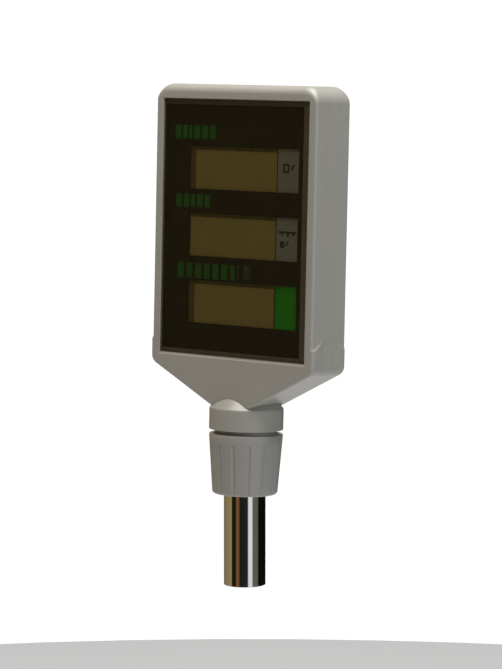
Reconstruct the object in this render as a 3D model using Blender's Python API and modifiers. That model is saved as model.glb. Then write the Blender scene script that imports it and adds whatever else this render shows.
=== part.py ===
"""Pole-mounted customer display head of a shop scale: a shallow upright housing with
three LCD windows, a round neck, a fluted collar nut and the upper end of a chromed pole.

Metres, +Z up. The pole stands on the Z axis with its lower end at the origin and the
display faces -Y. The head leans back a little on the pole, so all its pieces hang on an
empty that is turned about X; their heights are measured along the leaning axis from there.
"""

import math

import bmesh
import bpy
from mathutils import Matrix, Vector

# ---------------------------------------------------------------- driving dimensions
GAP = 0.0003  # between pieces that touch on the real object
CUT_LEAD = 0.0006  # how far a cutting tool runs past the surface it cuts
AXIS_HOLE = 0.002  # turned tools keep this radius clear of their own axis

# pole and lean
POLE_DIAMETER = 0.025
POLE_WALL = 0.0015
STUB_LENGTH = 0.053  # from the pole's lower end up to the point where the head leans
LEAN = math.radians(1.9)

# neck, read outwards from the pole
SWIVEL_CLEARANCE = 0.0003
BUSH_WALL = 0.0024
CORE_WALL = 0.0031
RING_STEP = 0.0036

# heights up the leaning axis
COLLAR_LIFT = 0.002
COLLAR_HEIGHT = 0.0366
GROOVE_HEIGHT = 0.0017
RING_HEIGHT = 0.0133
CORE_LENGTH = 0.021  # threaded core below the ring
CONE_ANGLE = math.radians(48)
CONE_WALL = 0.0023
CABLE_HOLE = 0.004  # radius the neck plug leaves open before it is hollowed
FLANGE_FLOOR = 0.0032  # solid bottom of the ring, which the bush flange rests on
FLANGE_THICKNESS = 0.002
RETAINER_WIDTH = 0.0037
RETAINER_THICKNESS = 0.0012
POLE_ABOVE_RETAINER = 0.0035
RING_WALL = 0.0032

# collar nut
COLLAR_TAPER = 0.0028  # how much its radius shrinks towards the bottom
COLLAR_FLOOR = 0.0045
COLLAR_CLEARANCE = 0.0009  # round the pole
SEAT_RADIUS = 0.002  # the clamping cone ends this much outside the collar's hole
COLLAR_ROUND = 0.0022
SMOOTH_BAND = 0.0058
FLUTES = 16
FLUTE_RADIUS = 0.0011
FLUTE_DEPTH = 0.0005
COLLAR_TOP_BEVEL = 0.0008
THREAD_CLEARANCE = 0.0004

# housing
HEAD_WIDTH = 0.123
HEAD_DEPTH = 0.032
HEAD_SETBACK = 0.0005  # the housing's middle plane lies this far before the neck's axis
BODY_HEIGHT = 0.1674  # upright sides, from the sloping underside to the top
RING_ROUND = 0.0011  # bevel at the ring's lower edge
SHOULDER_RISE = 0.005  # underside above the neck ring, measured at the neck's radius
UNDERSIDE_SLOPE = 0.5
UNDERSIDE_OVERLAP = 0.0006  # the sloping underside ends this far above the ring, inside the cone
WALL = 0.0025
TOP_CORNER = 0.010
LOW_CORNER = 0.006
SIDE_FILLET = 0.0018
TOP_FILLET = 0.0053
BAND_WIDTH = 0.0105  # middle frame, seen between the two shells
FLARE = 0.0012  # the lower sides stand out this much at the front and back edges
LEDGE_HEIGHT = 0.0145  # of the flared part, above the underside corner
LEDGE_ARCH = 0.0055  # more than that beside the middle frame
LEDGE_SLOPE = 0.0008
SMALLEST_CORNER = 0.0005

# window, measured inwards from the housing's edges
RIM_SIDE = 0.0057
RIM_TOP = 0.0092
SILL = 0.0067
RIM_CHAMFER = 0.0013
WINDOW_RECESS = 0.0012
WINDOW_THICKNESS = 0.002
TAPE_THICKNESS = 0.0006
TAPE_WIDTH_LEFT = 0.0019
TAPE_WIDTH_RIGHT = 0.0043
TAPE_WIDTH_TOP = 0.0034
TAPE_WIDTH_BOTTOM = 0.0028
SHELF_DEPTH = 0.0025  # shelf in the front shell behind the tape
SHELF_WIDTH = 0.0051

# display rows
ROWS = 3
ROW_GAP = 0.0146
MARGIN_LEFT = 0.0208
MARGIN_RIGHT = 0.0073
MARGIN_TOP = 0.0277
MARGIN_BOTTOM = 0.0184
UNIT_CARD_WIDTH = 0.0175
UNIT_CARD_THICKNESS = 0.0008
UNIT_CARD_LAP = 0.0013  # of the card under the mask, at its right-hand end
GLASS_THICKNESS = 0.0026
GLASS_BELOW_APERTURE = 0.0035
GLASS_LEFT_GAPS = (0.0053, 0.0016, 0.0045)  # bottom row first: each glass sits a little off
GLASS_TOP_GAPS = (0.0018, 0.0026, 0.0026)
BACKLIGHT_THICKNESS = 0.0024
ZEBRA_HEIGHT = 0.002
ZEBRA_INSET = 0.002  # shorter than the glass at each end
BACKLIGHT_INSET = 0.001
CARRIER_THICKNESS = 0.003
CARRIER_REACH = 0.0055  # the carrier's flange laps this far over the shelf

# board
BOARD_THICKNESS = 0.0016
DRIVER_SIZE = (0.014, 0.010, 0.0022)  # width, height, thickness
SOCKET_SIZE = (0.020, 0.006, 0.008)
SOCKET_WALL = 0.001
CAPACITOR_RADIUS = 0.004
CAPACITOR_LENGTH = 0.007
BOARD_SCREW_INSET = 0.0032

# fasteners
BOSS_RADIUS = 0.0032
REAR_BOSS_RADIUS = 0.0042
CASE_SCREW_RADIUS = 0.0012
CASE_HOLE_RADIUS = 0.0017
CASE_HEAD_RADIUS = 0.0024
CASE_HEAD_THICKNESS = 0.0018
COUNTERBORE_RADIUS = 0.0028
COUNTERBORE_DEPTH = 0.0065
CAP_THICKNESS = 0.0018
TOP_BOSS_INSET = (0.0075, 0.0087)  # across from the side, down from the top
LOW_BOSS_INSET = (0.0070, 0.0062)  # across from the side, up from the underside corner
NECK_BOSS_OFFSET = 0.0095  # out from the neck's radius
NECK_BOSS_RISE = 0.0025  # above the inside of the underside
PILOT_DEPTH = 0.0012  # case screws stop this far behind the front of the shelf
BOARD_SCREW_RADIUS = 0.001
BOARD_HOLE_RADIUS = 0.0013
BOARD_HEAD_RADIUS = 0.0021
BOARD_HEAD_THICKNESS = 0.0014

# clamp under the neck and end guard of the pole
WASHER_THICKNESS = 0.0012
COLLET_SLIT = 0.0022
GUARD_LIP = 0.0015
GUARD_DEPTH = 0.004
GUARD_WALL = 0.002

ROUND_STEPS = 48
SMALL_STEPS = 12
BORE_STEPS = 16

# ---------------------------------------------------------------- worked-out dimensions
POLE_RADIUS = POLE_DIAMETER / 2
BUSH_BORE = POLE_RADIUS + SWIVEL_CLEARANCE
BUSH_RADIUS = BUSH_BORE + BUSH_WALL
CORE_BORE = BUSH_RADIUS + GAP
CORE_RADIUS = CORE_BORE + CORE_WALL
NECK_RADIUS = CORE_RADIUS + RING_STEP

COLLAR_TOP = COLLAR_LIFT + COLLAR_HEIGHT
RING_BOTTOM = COLLAR_TOP + GROOVE_HEIGHT
RING_TOP = RING_BOTTOM + RING_HEIGHT
CORE_BOTTOM = RING_BOTTOM - CORE_LENGTH
FLANGE_SEAT = RING_BOTTOM + FLANGE_FLOOR
FLANGE_TOP = FLANGE_SEAT + GAP + FLANGE_THICKNESS
RING_CAVITY = NECK_RADIUS - RING_WALL
RETAINER_RADIUS = POLE_RADIUS + GAP + RETAINER_WIDTH
RETAINER_BOTTOM = FLANGE_TOP + GAP + RETAINER_RADIUS * math.sin(LEAN)
POLE_LENGTH = STUB_LENGTH + RETAINER_BOTTOM + RETAINER_THICKNESS + POLE_ABOVE_RETAINER

HALF_WIDTH = HEAD_WIDTH / 2
FRONT = -HEAD_SETBACK - HEAD_DEPTH / 2
BACK = FRONT + HEAD_DEPTH
BAND_FRONT = -HEAD_SETBACK - BAND_WIDTH / 2
BAND_BACK = BAND_FRONT + BAND_WIDTH
CORNER_HEIGHT = RING_TOP + SHOULDER_RISE + (HALF_WIDTH - NECK_RADIUS) * UNDERSIDE_SLOPE
HEAD_TOP = CORNER_HEIGHT + BODY_HEIGHT
UNDERSIDE_END = RING_TOP + UNDERSIDE_OVERLAP
SLOPE_LENGTH = math.hypot(1, UNDERSIDE_SLOPE)

WINDOW_HALF = HALF_WIDTH - RIM_SIDE
WINDOW_BOTTOM = CORNER_HEIGHT + SILL
WINDOW_TOP = HEAD_TOP - RIM_TOP
WINDOW_FRONT = FRONT + WINDOW_RECESS
WINDOW_BACK = WINDOW_FRONT + WINDOW_THICKNESS
TAPE_FRONT = WINDOW_BACK + GAP
TAPE_BACK = TAPE_FRONT + TAPE_THICKNESS
SHELF_FRONT = TAPE_BACK + GAP
SHELF_BACK = SHELF_FRONT + SHELF_DEPTH

APERTURE_LEFT = -WINDOW_HALF + MARGIN_LEFT
APERTURE_RIGHT = WINDOW_HALF - MARGIN_RIGHT
APERTURE_HEIGHT = (
    WINDOW_TOP - WINDOW_BOTTOM - MARGIN_TOP - MARGIN_BOTTOM - (ROWS - 1) * ROW_GAP
) / ROWS
ROW_PITCH = APERTURE_HEIGHT + ROW_GAP

PILOT_END = SHELF_FRONT + PILOT_DEPTH
CARRIER_BACK = SHELF_BACK + GAP + CARRIER_THICKNESS
GLASS_FRONT = SHELF_FRONT
GLASS_BACK = GLASS_FRONT + GLASS_THICKNESS
BOARD_FRONT = CARRIER_BACK + GAP
BOARD_BACK = BOARD_FRONT + BOARD_THICKNESS
CARD_LEFT = APERTURE_RIGHT - UNIT_CARD_WIDTH + UNIT_CARD_LAP
CARRIER_HALF = WINDOW_HALF - SHELF_WIDTH + CARRIER_REACH
CARRIER_LOW = WINDOW_BOTTOM + SHELF_WIDTH + GAP
CARRIER_HIGH = WINDOW_TOP - SHELF_WIDTH - GAP

CLAMP_BORE = POLE_RADIUS + CORE_BOTTOM * math.sin(LEAN) + GAP
COLLAR_BORE = CORE_RADIUS + THREAD_CLEARANCE
COLLAR_HOLE = POLE_RADIUS + COLLAR_CLEARANCE
SEAT_TOP = CORE_BOTTOM - 3 * GAP
SEAT_BOTTOM = COLLAR_LIFT + COLLAR_FLOOR
SEAT_LOW_RADIUS = COLLAR_HOLE + SEAT_RADIUS


def rgb(red, green, blue):
    """Linear colour from 0-255 display values."""
    return tuple((value / 255) ** 2.2 for value in (red, green, blue))


FINISHES = {
    "housing_abs": (rgb(196, 195, 188), 0.45, 0.0),
    "smoked_acrylic": (rgb(40, 32, 20), 0.05, 0.0),
    "black_print": (rgb(14, 13, 12), 0.5, 0.0),
    "foam_tape": (rgb(176, 172, 160), 0.8, 0.0),
    "lcd_glass": (rgb(120, 124, 96), 0.1, 0.0),
    "unit_print": (rgb(150, 150, 140), 0.6, 0.0),
    "unit_print_green": (rgb(20, 150, 40), 0.6, 0.0),
    "light_guide": (rgb(225, 228, 220), 0.3, 0.0),
    "elastomer": (rgb(150, 90, 100), 0.7, 0.0),
    "white_plastic": (rgb(215, 213, 206), 0.5, 0.0),
    "circuit_board": (rgb(30, 90, 50), 0.5, 0.0),
    "black_plastic": (rgb(25, 25, 26), 0.5, 0.0),
    "chrome": (rgb(225, 226, 228), 0.06, 1.0),
    "zinc_steel": (rgb(190, 192, 195), 0.3, 1.0),
    "spring_steel": (rgb(120, 122, 126), 0.3, 1.0),
    "acetal": (rgb(228, 226, 218), 0.4, 0.0),
    "rubber": (rgb(40, 40, 42), 0.8, 0.0),
}


# ---------------------------------------------------------------- scene and helpers
def clear_scene():
    for obj in list(bpy.data.objects):
        bpy.data.objects.remove(obj, do_unlink=True)
    for collection in list(bpy.data.collections):
        bpy.data.collections.remove(collection)


def new_collection(name):
    collection = bpy.data.collections.new(name)
    bpy.context.scene.collection.children.link(collection)
    return collection


def new_material(name):
    color, roughness, metallic = FINISHES[name]
    material = bpy.data.materials.new(name)
    material.use_nodes = True
    shader = material.node_tree.nodes["Principled BSDF"]
    shader.inputs["Base Color"].default_value = (*color, 1)
    shader.inputs["Roughness"].default_value = roughness
    shader.inputs["Metallic"].default_value = metallic
    material.diffuse_color = (*color, 1)
    return material


clear_scene()
PARTS = new_collection("customer_display")
CUTTERS = new_collection("cutters")
MATERIALS = {name: new_material(name) for name in FINISHES}

HEAD = bpy.data.objects.new("head_frame", None)
HEAD.location = (0, 0, STUB_LENGTH)
HEAD.rotation_euler = (-LEAN, 0, 0)
PARTS.objects.link(HEAD)


def add_object(name, mesh, finish=None, parent=HEAD):
    """A part when it has a finish, otherwise a hidden tool for Booleans."""
    obj = bpy.data.objects.new(name, mesh)
    if finish:
        PARTS.objects.link(obj)
        mesh.materials.append(MATERIALS[finish])
    else:
        CUTTERS.objects.link(obj)
        obj.hide_render = True
        obj.display_type = "WIRE"
    obj.parent = parent
    return obj


def finish_mesh(name, bm):
    bmesh.ops.recalc_face_normals(bm, faces=bm.faces)
    mesh = bpy.data.meshes.new(name)
    bm.to_mesh(mesh)
    bm.free()
    return mesh


def box(name, low, high, finish=None, parent=HEAD):
    bm = bmesh.new()
    bmesh.ops.create_cube(bm, size=1)
    size = Vector(high) - Vector(low)
    middle = (Vector(high) + Vector(low)) / 2
    bmesh.ops.transform(
        bm, matrix=Matrix.Translation(middle) @ Matrix.Diagonal((*size, 1)), verts=bm.verts
    )
    return add_object(name, finish_mesh(name, bm), finish, parent)


def rod(name, center, radius, y_from, y_to, finish=None, steps=SMALL_STEPS):
    """A round bar along Y at center = (x, height)."""
    bm = bmesh.new()
    bmesh.ops.create_cone(
        bm,
        cap_ends=True,
        segments=steps,
        radius1=radius,
        radius2=radius,
        depth=y_to - y_from,
    )
    turn = Matrix.Rotation(math.radians(-90), 4, "X")
    place = Matrix.Translation((center[0], (y_from + y_to) / 2, center[1]))
    bmesh.ops.transform(bm, matrix=place @ turn, verts=bm.verts)
    return add_object(name, finish_mesh(name, bm), finish)


def slanted_rod(name, start, end, radius, steps=10):
    bm = bmesh.new()
    bmesh.ops.create_cone(
        bm,
        cap_ends=True,
        segments=steps,
        radius1=radius,
        radius2=radius,
        depth=(end - start).length,
    )
    turn = (end - start).to_track_quat("Z", "Y").to_matrix().to_4x4()
    bmesh.ops.transform(bm, matrix=Matrix.Translation((start + end) / 2) @ turn, verts=bm.verts)
    return add_object(name, finish_mesh(name, bm))


def turned(name, profile, finish=None, parent=HEAD, steps=ROUND_STEPS):
    """A ring turned round the local Z axis from a closed (radius, height) outline, which
    starts at the top of its outer side and runs down it."""
    mesh = bpy.data.meshes.new(name)
    count = len(profile)
    mesh.from_pydata(
        [(radius, 0, height) for radius, height in profile],
        [(i, (i + 1) % count) for i in range(count)],
        [],
    )
    obj = add_object(name, mesh, finish, parent)
    screw = obj.modifiers.new("Turn", "SCREW")
    screw.steps = screw.render_steps = steps
    screw.use_merge_vertices = True
    screw.merge_threshold = 1e-6
    return obj


def loft(name, sections, finish=None):
    """A solid through closed outlines of equal length, each (y, [(x, height), ...])."""
    bm = bmesh.new()
    rings = [[bm.verts.new((x, y, h)) for x, h in outline] for y, outline in sections]
    for first, second in zip(rings, rings[1:]):
        for i in range(len(first)):
            j = (i + 1) % len(first)
            bm.faces.new((first[i], first[j], second[j], second[i]))
    bm.faces.new(rings[0])
    bm.faces.new(rings[-1])
    return add_object(name, finish_mesh(name, bm), finish)


def prism(name, outline, y_from, y_to, finish=None):
    return loft(name, [(y_from, outline), (y_to, outline)], finish)


def rectangle(left, right, low, high):
    return [(left, low), (right, low), (right, high), (left, high)]


def combine(target, tools, operation):
    """One exact Boolean with several tools, kept as a modifier."""
    group = bpy.data.collections.new(f"{target.name}_{operation.lower()}")
    CUTTERS.children.link(group)
    for tool in tools:
        group.objects.link(tool)
        CUTTERS.objects.unlink(tool)
    modifier = target.modifiers.new(operation.title(), "BOOLEAN")
    modifier.operation = operation
    modifier.operand_type = "COLLECTION"
    modifier.collection = group
    return target


def shade_round(obj, angle=40):
    obj.data.shade_smooth()
    obj.data.set_sharp_from_angle(angle=math.radians(angle))


# ---------------------------------------------------------------- housing outline
def arc(center, radius_x, radius_h, start, end, steps):
    """Points on an elliptical arc, angles in degrees from +X towards up."""
    points = []
    for i in range(steps + 1):
        angle = math.radians(start + (end - start) * i / steps)
        points.append(
            (center[0] + radius_x * math.cos(angle), center[1] + radius_h * math.sin(angle))
        )
    return points


def underside(x, inset=0.0):
    """Height of the sloping underside at x, raised by an inset square to it."""
    return CORNER_HEIGHT + (x - HALF_WIDTH) * UNDERSIDE_SLOPE + inset * SLOPE_LENGTH


def low_corner(side, inset):
    """Arc between the underside and the upright side at x = side."""
    radius = max(LOW_CORNER - inset, SMALLEST_CORNER)
    slope_angle = math.degrees(math.atan(UNDERSIDE_SLOPE))
    center_x = side - radius
    center = (center_x, underside(center_x, inset) + radius * SLOPE_LENGTH)
    return arc(center, radius, radius, slope_angle - 90, 0, 5)


def half_outline(inset=0.0, top_inset=0.0, flare=0.0, arch=0.0):
    """Right half of the housing seen from the front, from the underside's end to the top."""
    side = HALF_WIDTH - inset
    end = HALF_WIDTH + (UNDERSIDE_END - CORNER_HEIGHT - inset * SLOPE_LENGTH) / UNDERSIDE_SLOPE
    ledge = CORNER_HEIGHT + LEDGE_HEIGHT + arch
    top_center = (HALF_WIDTH - TOP_CORNER, HEAD_TOP - TOP_CORNER)
    return [
        (end, UNDERSIDE_END),
        *low_corner(side + flare, inset),
        (side + flare, ledge - LEDGE_SLOPE),
        (side, ledge),
        *arc(top_center, TOP_CORNER - inset, TOP_CORNER - top_inset, 0, 90, 7),
    ]


def mirrored(half):
    return half + [(-x, h) for x, h in reversed(half)]


def fillet_inset(radius, distance):
    """How far a fillet lies inside its sharp edge at this distance behind the face."""
    if distance >= radius:
        return 0.0
    return radius - math.sqrt(radius**2 - (radius - distance) ** 2)


def shell_section(distance, depth):
    """Housing outline at this distance behind its face, on a shell of this depth."""
    share = min(max(1 - (distance - SIDE_FILLET) / (depth - SIDE_FILLET), 0), 1)
    return mirrored(
        half_outline(
            inset=fillet_inset(SIDE_FILLET, distance),
            top_inset=fillet_inset(TOP_FILLET, distance),
            flare=FLARE * share,
            arch=LEDGE_ARCH * math.cos(share * math.pi / 2),
        )
    )


def shell_body(name, face, edge):
    """Outer form of a shell from its face to its parting edge."""
    depth = abs(edge - face)
    direction = math.copysign(1, edge - face)
    distances = [TOP_FILLET * (1 - math.cos(math.radians(a))) for a in (0, 20, 36, 52, 70, 90)]
    distances += [TOP_FILLET + (depth - TOP_FILLET) * share for share in (0.5, 1)]
    sections = [(face + direction * d, shell_section(d, depth)) for d in distances]
    return loft(name, sections, "housing_abs")


def neck_outer(grow=0.0):
    """Profile of the neck's outside: cone, ring and threaded core."""
    cone_run = NECK_RADIUS - CORE_BORE + GAP
    cone_top = RING_TOP + cone_run * math.tan(CONE_ANGLE)
    return [
        (CORE_BORE - GAP + grow, cone_top + grow),
        (NECK_RADIUS + grow, RING_TOP + grow * math.tan(CONE_ANGLE / 2)),
        (NECK_RADIUS + grow, RING_BOTTOM + RING_ROUND),
        (CORE_RADIUS + grow, RING_BOTTOM),
    ]


def boss_places():
    top = (HALF_WIDTH - TOP_BOSS_INSET[0], HEAD_TOP - TOP_BOSS_INSET[1])
    low = (HALF_WIDTH - LOW_BOSS_INSET[0], CORNER_HEIGHT + LOW_BOSS_INSET[1])
    neck_x = NECK_RADIUS + NECK_BOSS_OFFSET
    neck = (neck_x, underside(neck_x, WALL) + BOSS_RADIUS + NECK_BOSS_RISE)
    return [(side * x, h) for x, h in (top, low, neck) for side in (1, -1)]


# ---------------------------------------------------------------- housing
def window_rectangle(grow=0.0):
    return rectangle(
        -WINDOW_HALF - grow, WINDOW_HALF + grow, WINDOW_BOTTOM - grow, WINDOW_TOP + grow
    )


def neck_clearance(name):
    """Tool that leaves a gap round the neck in a shell."""
    outer = neck_outer(grow=GAP)
    return turned(name, [*outer, (AXIS_HOLE, outer[-1][1]), (AXIS_HOLE, outer[0][1])])


def board_screw_places():
    across = CARRIER_HALF - BOARD_SCREW_INSET
    low, high = CARRIER_LOW + BOARD_SCREW_INSET, CARRIER_HIGH - BOARD_SCREW_INSET
    return [(side * across, h) for h in (low, high) for side in (1, -1)]


def make_front_shell():
    edge = BAND_FRONT - GAP
    shell = shell_body("front_shell", FRONT, edge)
    lead = CUT_LEAD
    opening = loft(
        "rim_opening",
        [
            (FRONT - lead, window_rectangle(RIM_CHAMFER * (1 + lead / WINDOW_RECESS))),
            (WINDOW_FRONT, window_rectangle()),
            (SHELF_FRONT, window_rectangle()),
        ],
    )
    inside = mirrored(half_outline(WALL, WALL))
    shelf_edge = window_rectangle(-SHELF_WIDTH)
    shelf_hole = prism("shelf_hole", shelf_edge, SHELF_FRONT - lead, SHELF_BACK + lead)
    cavity = prism("front_cavity", inside, SHELF_BACK, edge + lead)
    chin_half = [
        point for point in half_outline(WALL, WALL) if point[1] < WINDOW_BOTTOM - WALL
    ]
    chin_half.append((HALF_WIDTH - WALL, WINDOW_BOTTOM - WALL))
    chin = prism("chin_cavity", mirrored(chin_half), FRONT + WALL, SHELF_BACK + lead)
    combine(shell, [opening, shelf_hole, cavity, chin], "DIFFERENCE")
    bosses, holes = [], []
    for i, place in enumerate(boss_places()):
        below_window = place[1] < WINDOW_BOTTOM - BOSS_RADIUS
        start = (FRONT + WALL if below_window else SHELF_BACK) - lead
        boss = rod(f"front_boss_{i}", place, BOSS_RADIUS, start, edge - GAP, steps=BORE_STEPS)
        pilot_radius = CASE_SCREW_RADIUS + GAP
        bosses.append(boss)
        holes.append(rod(f"front_pilot_{i}", place, pilot_radius, PILOT_END, edge + lead))
    for i, place in enumerate(board_screw_places()):
        ends = SHELF_FRONT + lead, SHELF_BACK + lead
        holes.append(rod(f"shelf_pilot_{i}", place, BOARD_HOLE_RADIUS, *ends))
    combine(shell, bosses, "UNION")
    combine(shell, [*holes, neck_clearance("front_neck_gap")], "DIFFERENCE")


def make_rear_shell():
    edge = BAND_BACK + GAP
    shell = shell_body("rear_shell", BACK, edge)
    lead = CUT_LEAD
    seat = BACK - COUNTERBORE_DEPTH
    inside = mirrored(half_outline(WALL, WALL))
    cavity = prism("rear_cavity", inside, edge - lead, BACK - WALL)
    combine(shell, [cavity], "DIFFERENCE")
    bosses, holes = [], []
    for i, place in enumerate(boss_places()):
        boss_ends = edge + GAP, BACK - WALL + lead
        bosses.append(rod(f"rear_boss_{i}", place, REAR_BOSS_RADIUS, *boss_ends, steps=BORE_STEPS))
        holes.append(rod(f"rear_hole_{i}", place, CASE_HOLE_RADIUS, edge - lead, seat + lead))
        counterbore = f"counterbore_{i}", place, COUNTERBORE_RADIUS, seat, BACK + lead
        holes.append(rod(*counterbore, steps=BORE_STEPS))
    combine(shell, bosses, "UNION")
    combine(shell, [*holes, neck_clearance("rear_neck_gap")], "DIFFERENCE")


def band_rib(name, place, ends):
    """Rib from a boss of the middle frame to the nearest wall."""
    x, height = place
    half = BOSS_RADIUS / 2
    if abs(x) > NECK_RADIUS + 2 * NECK_BOSS_OFFSET:
        wall = math.copysign(HALF_WIDTH - WALL / 2, x)
        low = (min(x, wall), ends[0], height - half)
        high = (max(x, wall), ends[1], height + half)
    else:
        low = (x - half, ends[0], underside(abs(x)) + WALL / 2)
        high = (x + half, ends[1], height)
    return box(name, low, high)


def make_neck_frame():
    """Middle band of the housing in one piece with the round neck and its threaded core."""
    lead = CUT_LEAD
    cut_ends = BAND_FRONT - lead, BAND_BACK + lead
    boss_ends = BAND_FRONT + GAP, BAND_BACK - GAP
    frame = prism("neck_frame", mirrored(half_outline()), BAND_FRONT, BAND_BACK, "housing_abs")
    inside = prism("band_inside", mirrored(half_outline(WALL, WALL)), *cut_ends)
    combine(frame, [inside], "DIFFERENCE")
    outer = neck_outer()
    plug_bore = CORE_BORE - 4 * GAP
    plug = turned(
        "neck_plug",
        [
            *outer,
            (CORE_RADIUS, CORE_BOTTOM),
            (plug_bore, CORE_BOTTOM),
            (plug_bore, RING_BOTTOM),
            (CABLE_HOLE, RING_BOTTOM),
            (CABLE_HOLE, outer[0][1]),
        ],
    )
    adds = [plug]
    cone_top_radius, cone_top = outer[0]
    drop = CONE_WALL / math.sin(CONE_ANGLE)
    rise = (NECK_RADIUS - drop - RING_CAVITY) * math.tan(CONE_ANGLE)
    hollow = turned(
        "neck_hollow",
        [
            (cone_top_radius - drop - lead / math.tan(CONE_ANGLE), cone_top + lead),
            (RING_CAVITY, RING_TOP + rise),
            (RING_CAVITY, FLANGE_SEAT),
            (CORE_BORE, FLANGE_SEAT),
            (CORE_BORE, CORE_BOTTOM - lead),
            (AXIS_HOLE, CORE_BOTTOM - lead),
            (AXIS_HOLE, cone_top + lead),
        ],
    )
    holes = [hollow]
    for i, place in enumerate(boss_places()):
        adds.append(rod(f"band_boss_{i}", place, BOSS_RADIUS, *boss_ends, steps=BORE_STEPS))
        holes.append(rod(f"band_hole_{i}", place, CASE_HOLE_RADIUS, *cut_ends))
        adds.append(band_rib(f"band_rib_{i}", place, boss_ends))
    combine(frame, adds, "UNION")
    combine(frame, holes, "DIFFERENCE")


# ---------------------------------------------------------------- window and displays
def make_window():
    low, high = WINDOW_BOTTOM + GAP, WINDOW_TOP - GAP
    half = WINDOW_HALF - GAP
    box("window_panel", (-half, WINDOW_FRONT, low), (half, WINDOW_BACK, high), "smoked_acrylic")
    left, right = -WINDOW_HALF + TAPE_WIDTH_LEFT, WINDOW_HALF - TAPE_WIDTH_RIGHT
    bottom, top = WINDOW_BOTTOM + TAPE_WIDTH_BOTTOM, WINDOW_TOP - TAPE_WIDTH_TOP
    tape = box("window_tape", (-half, TAPE_FRONT, low), (half, TAPE_BACK, high), "foam_tape")
    tape_hole = box(
        "tape_hole",
        (left - GAP, TAPE_FRONT - GAP, bottom - GAP),
        (right + GAP, TAPE_BACK + GAP, top + GAP),
    )
    combine(tape, [tape_hole], "DIFFERENCE")
    mask = box("display_mask", (left, TAPE_FRONT, bottom), (right, TAPE_BACK, top), "black_print")
    apertures = [
        box(
            f"aperture_{row}",
            (APERTURE_LEFT, TAPE_FRONT - GAP, row_bottom(row)),
            (APERTURE_RIGHT, TAPE_BACK + GAP, row_bottom(row) + APERTURE_HEIGHT),
        )
        for row in range(ROWS)
    ]
    combine(mask, apertures, "DIFFERENCE")


def row_bottom(row):
    """Lower edge of a row's aperture, the bottom row first."""
    return WINDOW_BOTTOM + MARGIN_BOTTOM + row * ROW_PITCH


def glass_limits(row):
    """Left, right, low and high edges of a row's LCD glass."""
    return (
        APERTURE_LEFT + GLASS_LEFT_GAPS[row],
        CARD_LEFT - 2 * GAP,
        row_bottom(row) - GLASS_BELOW_APERTURE,
        row_bottom(row) + APERTURE_HEIGHT - GLASS_TOP_GAPS[row],
    )


def make_carrier():
    """Tray behind the shelf with pockets that hold the displays and the unit cards."""
    opening_half = WINDOW_HALF - SHELF_WIDTH - GAP
    carrier = box(
        "display_carrier",
        (-CARRIER_HALF, SHELF_BACK + GAP, CARRIER_LOW),
        (CARRIER_HALF, CARRIER_BACK, CARRIER_HIGH),
        "white_plastic",
    )
    face = box(
        "carrier_face",
        (-opening_half, SHELF_FRONT, CARRIER_LOW),
        (opening_half, CARRIER_BACK - GAP, CARRIER_HIGH),
    )
    combine(carrier, [face], "UNION")
    cuts = []
    front, back = SHELF_FRONT - GAP, CARRIER_BACK + GAP
    card_back = SHELF_FRONT + UNIT_CARD_THICKNESS + GAP
    glass_left = APERTURE_LEFT - 4 * GAP
    card_right = APERTURE_RIGHT + 5 * GAP
    for row in range(ROWS):
        low = row_bottom(row) - GLASS_BELOW_APERTURE - GAP
        high = row_bottom(row) + APERTURE_HEIGHT + GAP
        glass_pocket = (glass_left, front, low), (CARD_LEFT - GAP, back, high)
        card_pocket = (CARD_LEFT - 2 * GAP, front, low), (card_right, card_back, high)
        cuts.append(box(f"glass_pocket_{row}", *glass_pocket))
        cuts.append(box(f"card_pocket_{row}", *card_pocket))
    for i, place in enumerate(board_screw_places()):
        cuts.append(rod(f"carrier_hole_{i}", place, BOARD_HOLE_RADIUS, SHELF_BACK - GAP, back))
    combine(carrier, cuts, "DIFFERENCE")


def make_displays():
    for row in range(ROWS):
        left, right, low, high = glass_limits(row)
        glass = (left, GLASS_FRONT, low), (right, GLASS_BACK, high)
        box(f"lcd_glass_{row + 1}", *glass, "lcd_glass")
        card_finish = "unit_print_green" if row == 0 else "unit_print"
        card_back = SHELF_FRONT + UNIT_CARD_THICKNESS
        box(
            f"unit_card_{row + 1}",
            (CARD_LEFT, SHELF_FRONT, row_bottom(row) - GLASS_BELOW_APERTURE),
            (APERTURE_RIGHT + 4 * GAP, card_back, row_bottom(row) + APERTURE_HEIGHT),
            card_finish,
        )
        zebra_low = low + GAP
        zebra_high = zebra_low + ZEBRA_HEIGHT
        behind = GLASS_BACK + GAP
        box(
            f"zebra_strip_{row + 1}",
            (left + ZEBRA_INSET, behind, zebra_low),
            (right - ZEBRA_INSET, BOARD_FRONT - GAP, zebra_high),
            "elastomer",
        )
        box(
            f"backlight_{row + 1}",
            (left + BACKLIGHT_INSET, behind, zebra_high + 2 * GAP),
            (right - BACKLIGHT_INSET, behind + BACKLIGHT_THICKNESS, high - BACKLIGHT_INSET),
            "light_guide",
        )


# ---------------------------------------------------------------- circuit board and screws
def stepped_rod(name, center, rings, finish, steps=SMALL_STEPS):
    """A round piece along Y from rings of (y, radius)."""
    angles = [2 * math.pi * i / steps for i in range(steps)]
    sections = [
        (y, [(center[0] + radius * math.cos(a), center[1] + radius * math.sin(a)) for a in angles])
        for y, radius in rings
    ]
    return loft(name, sections, finish)


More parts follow.
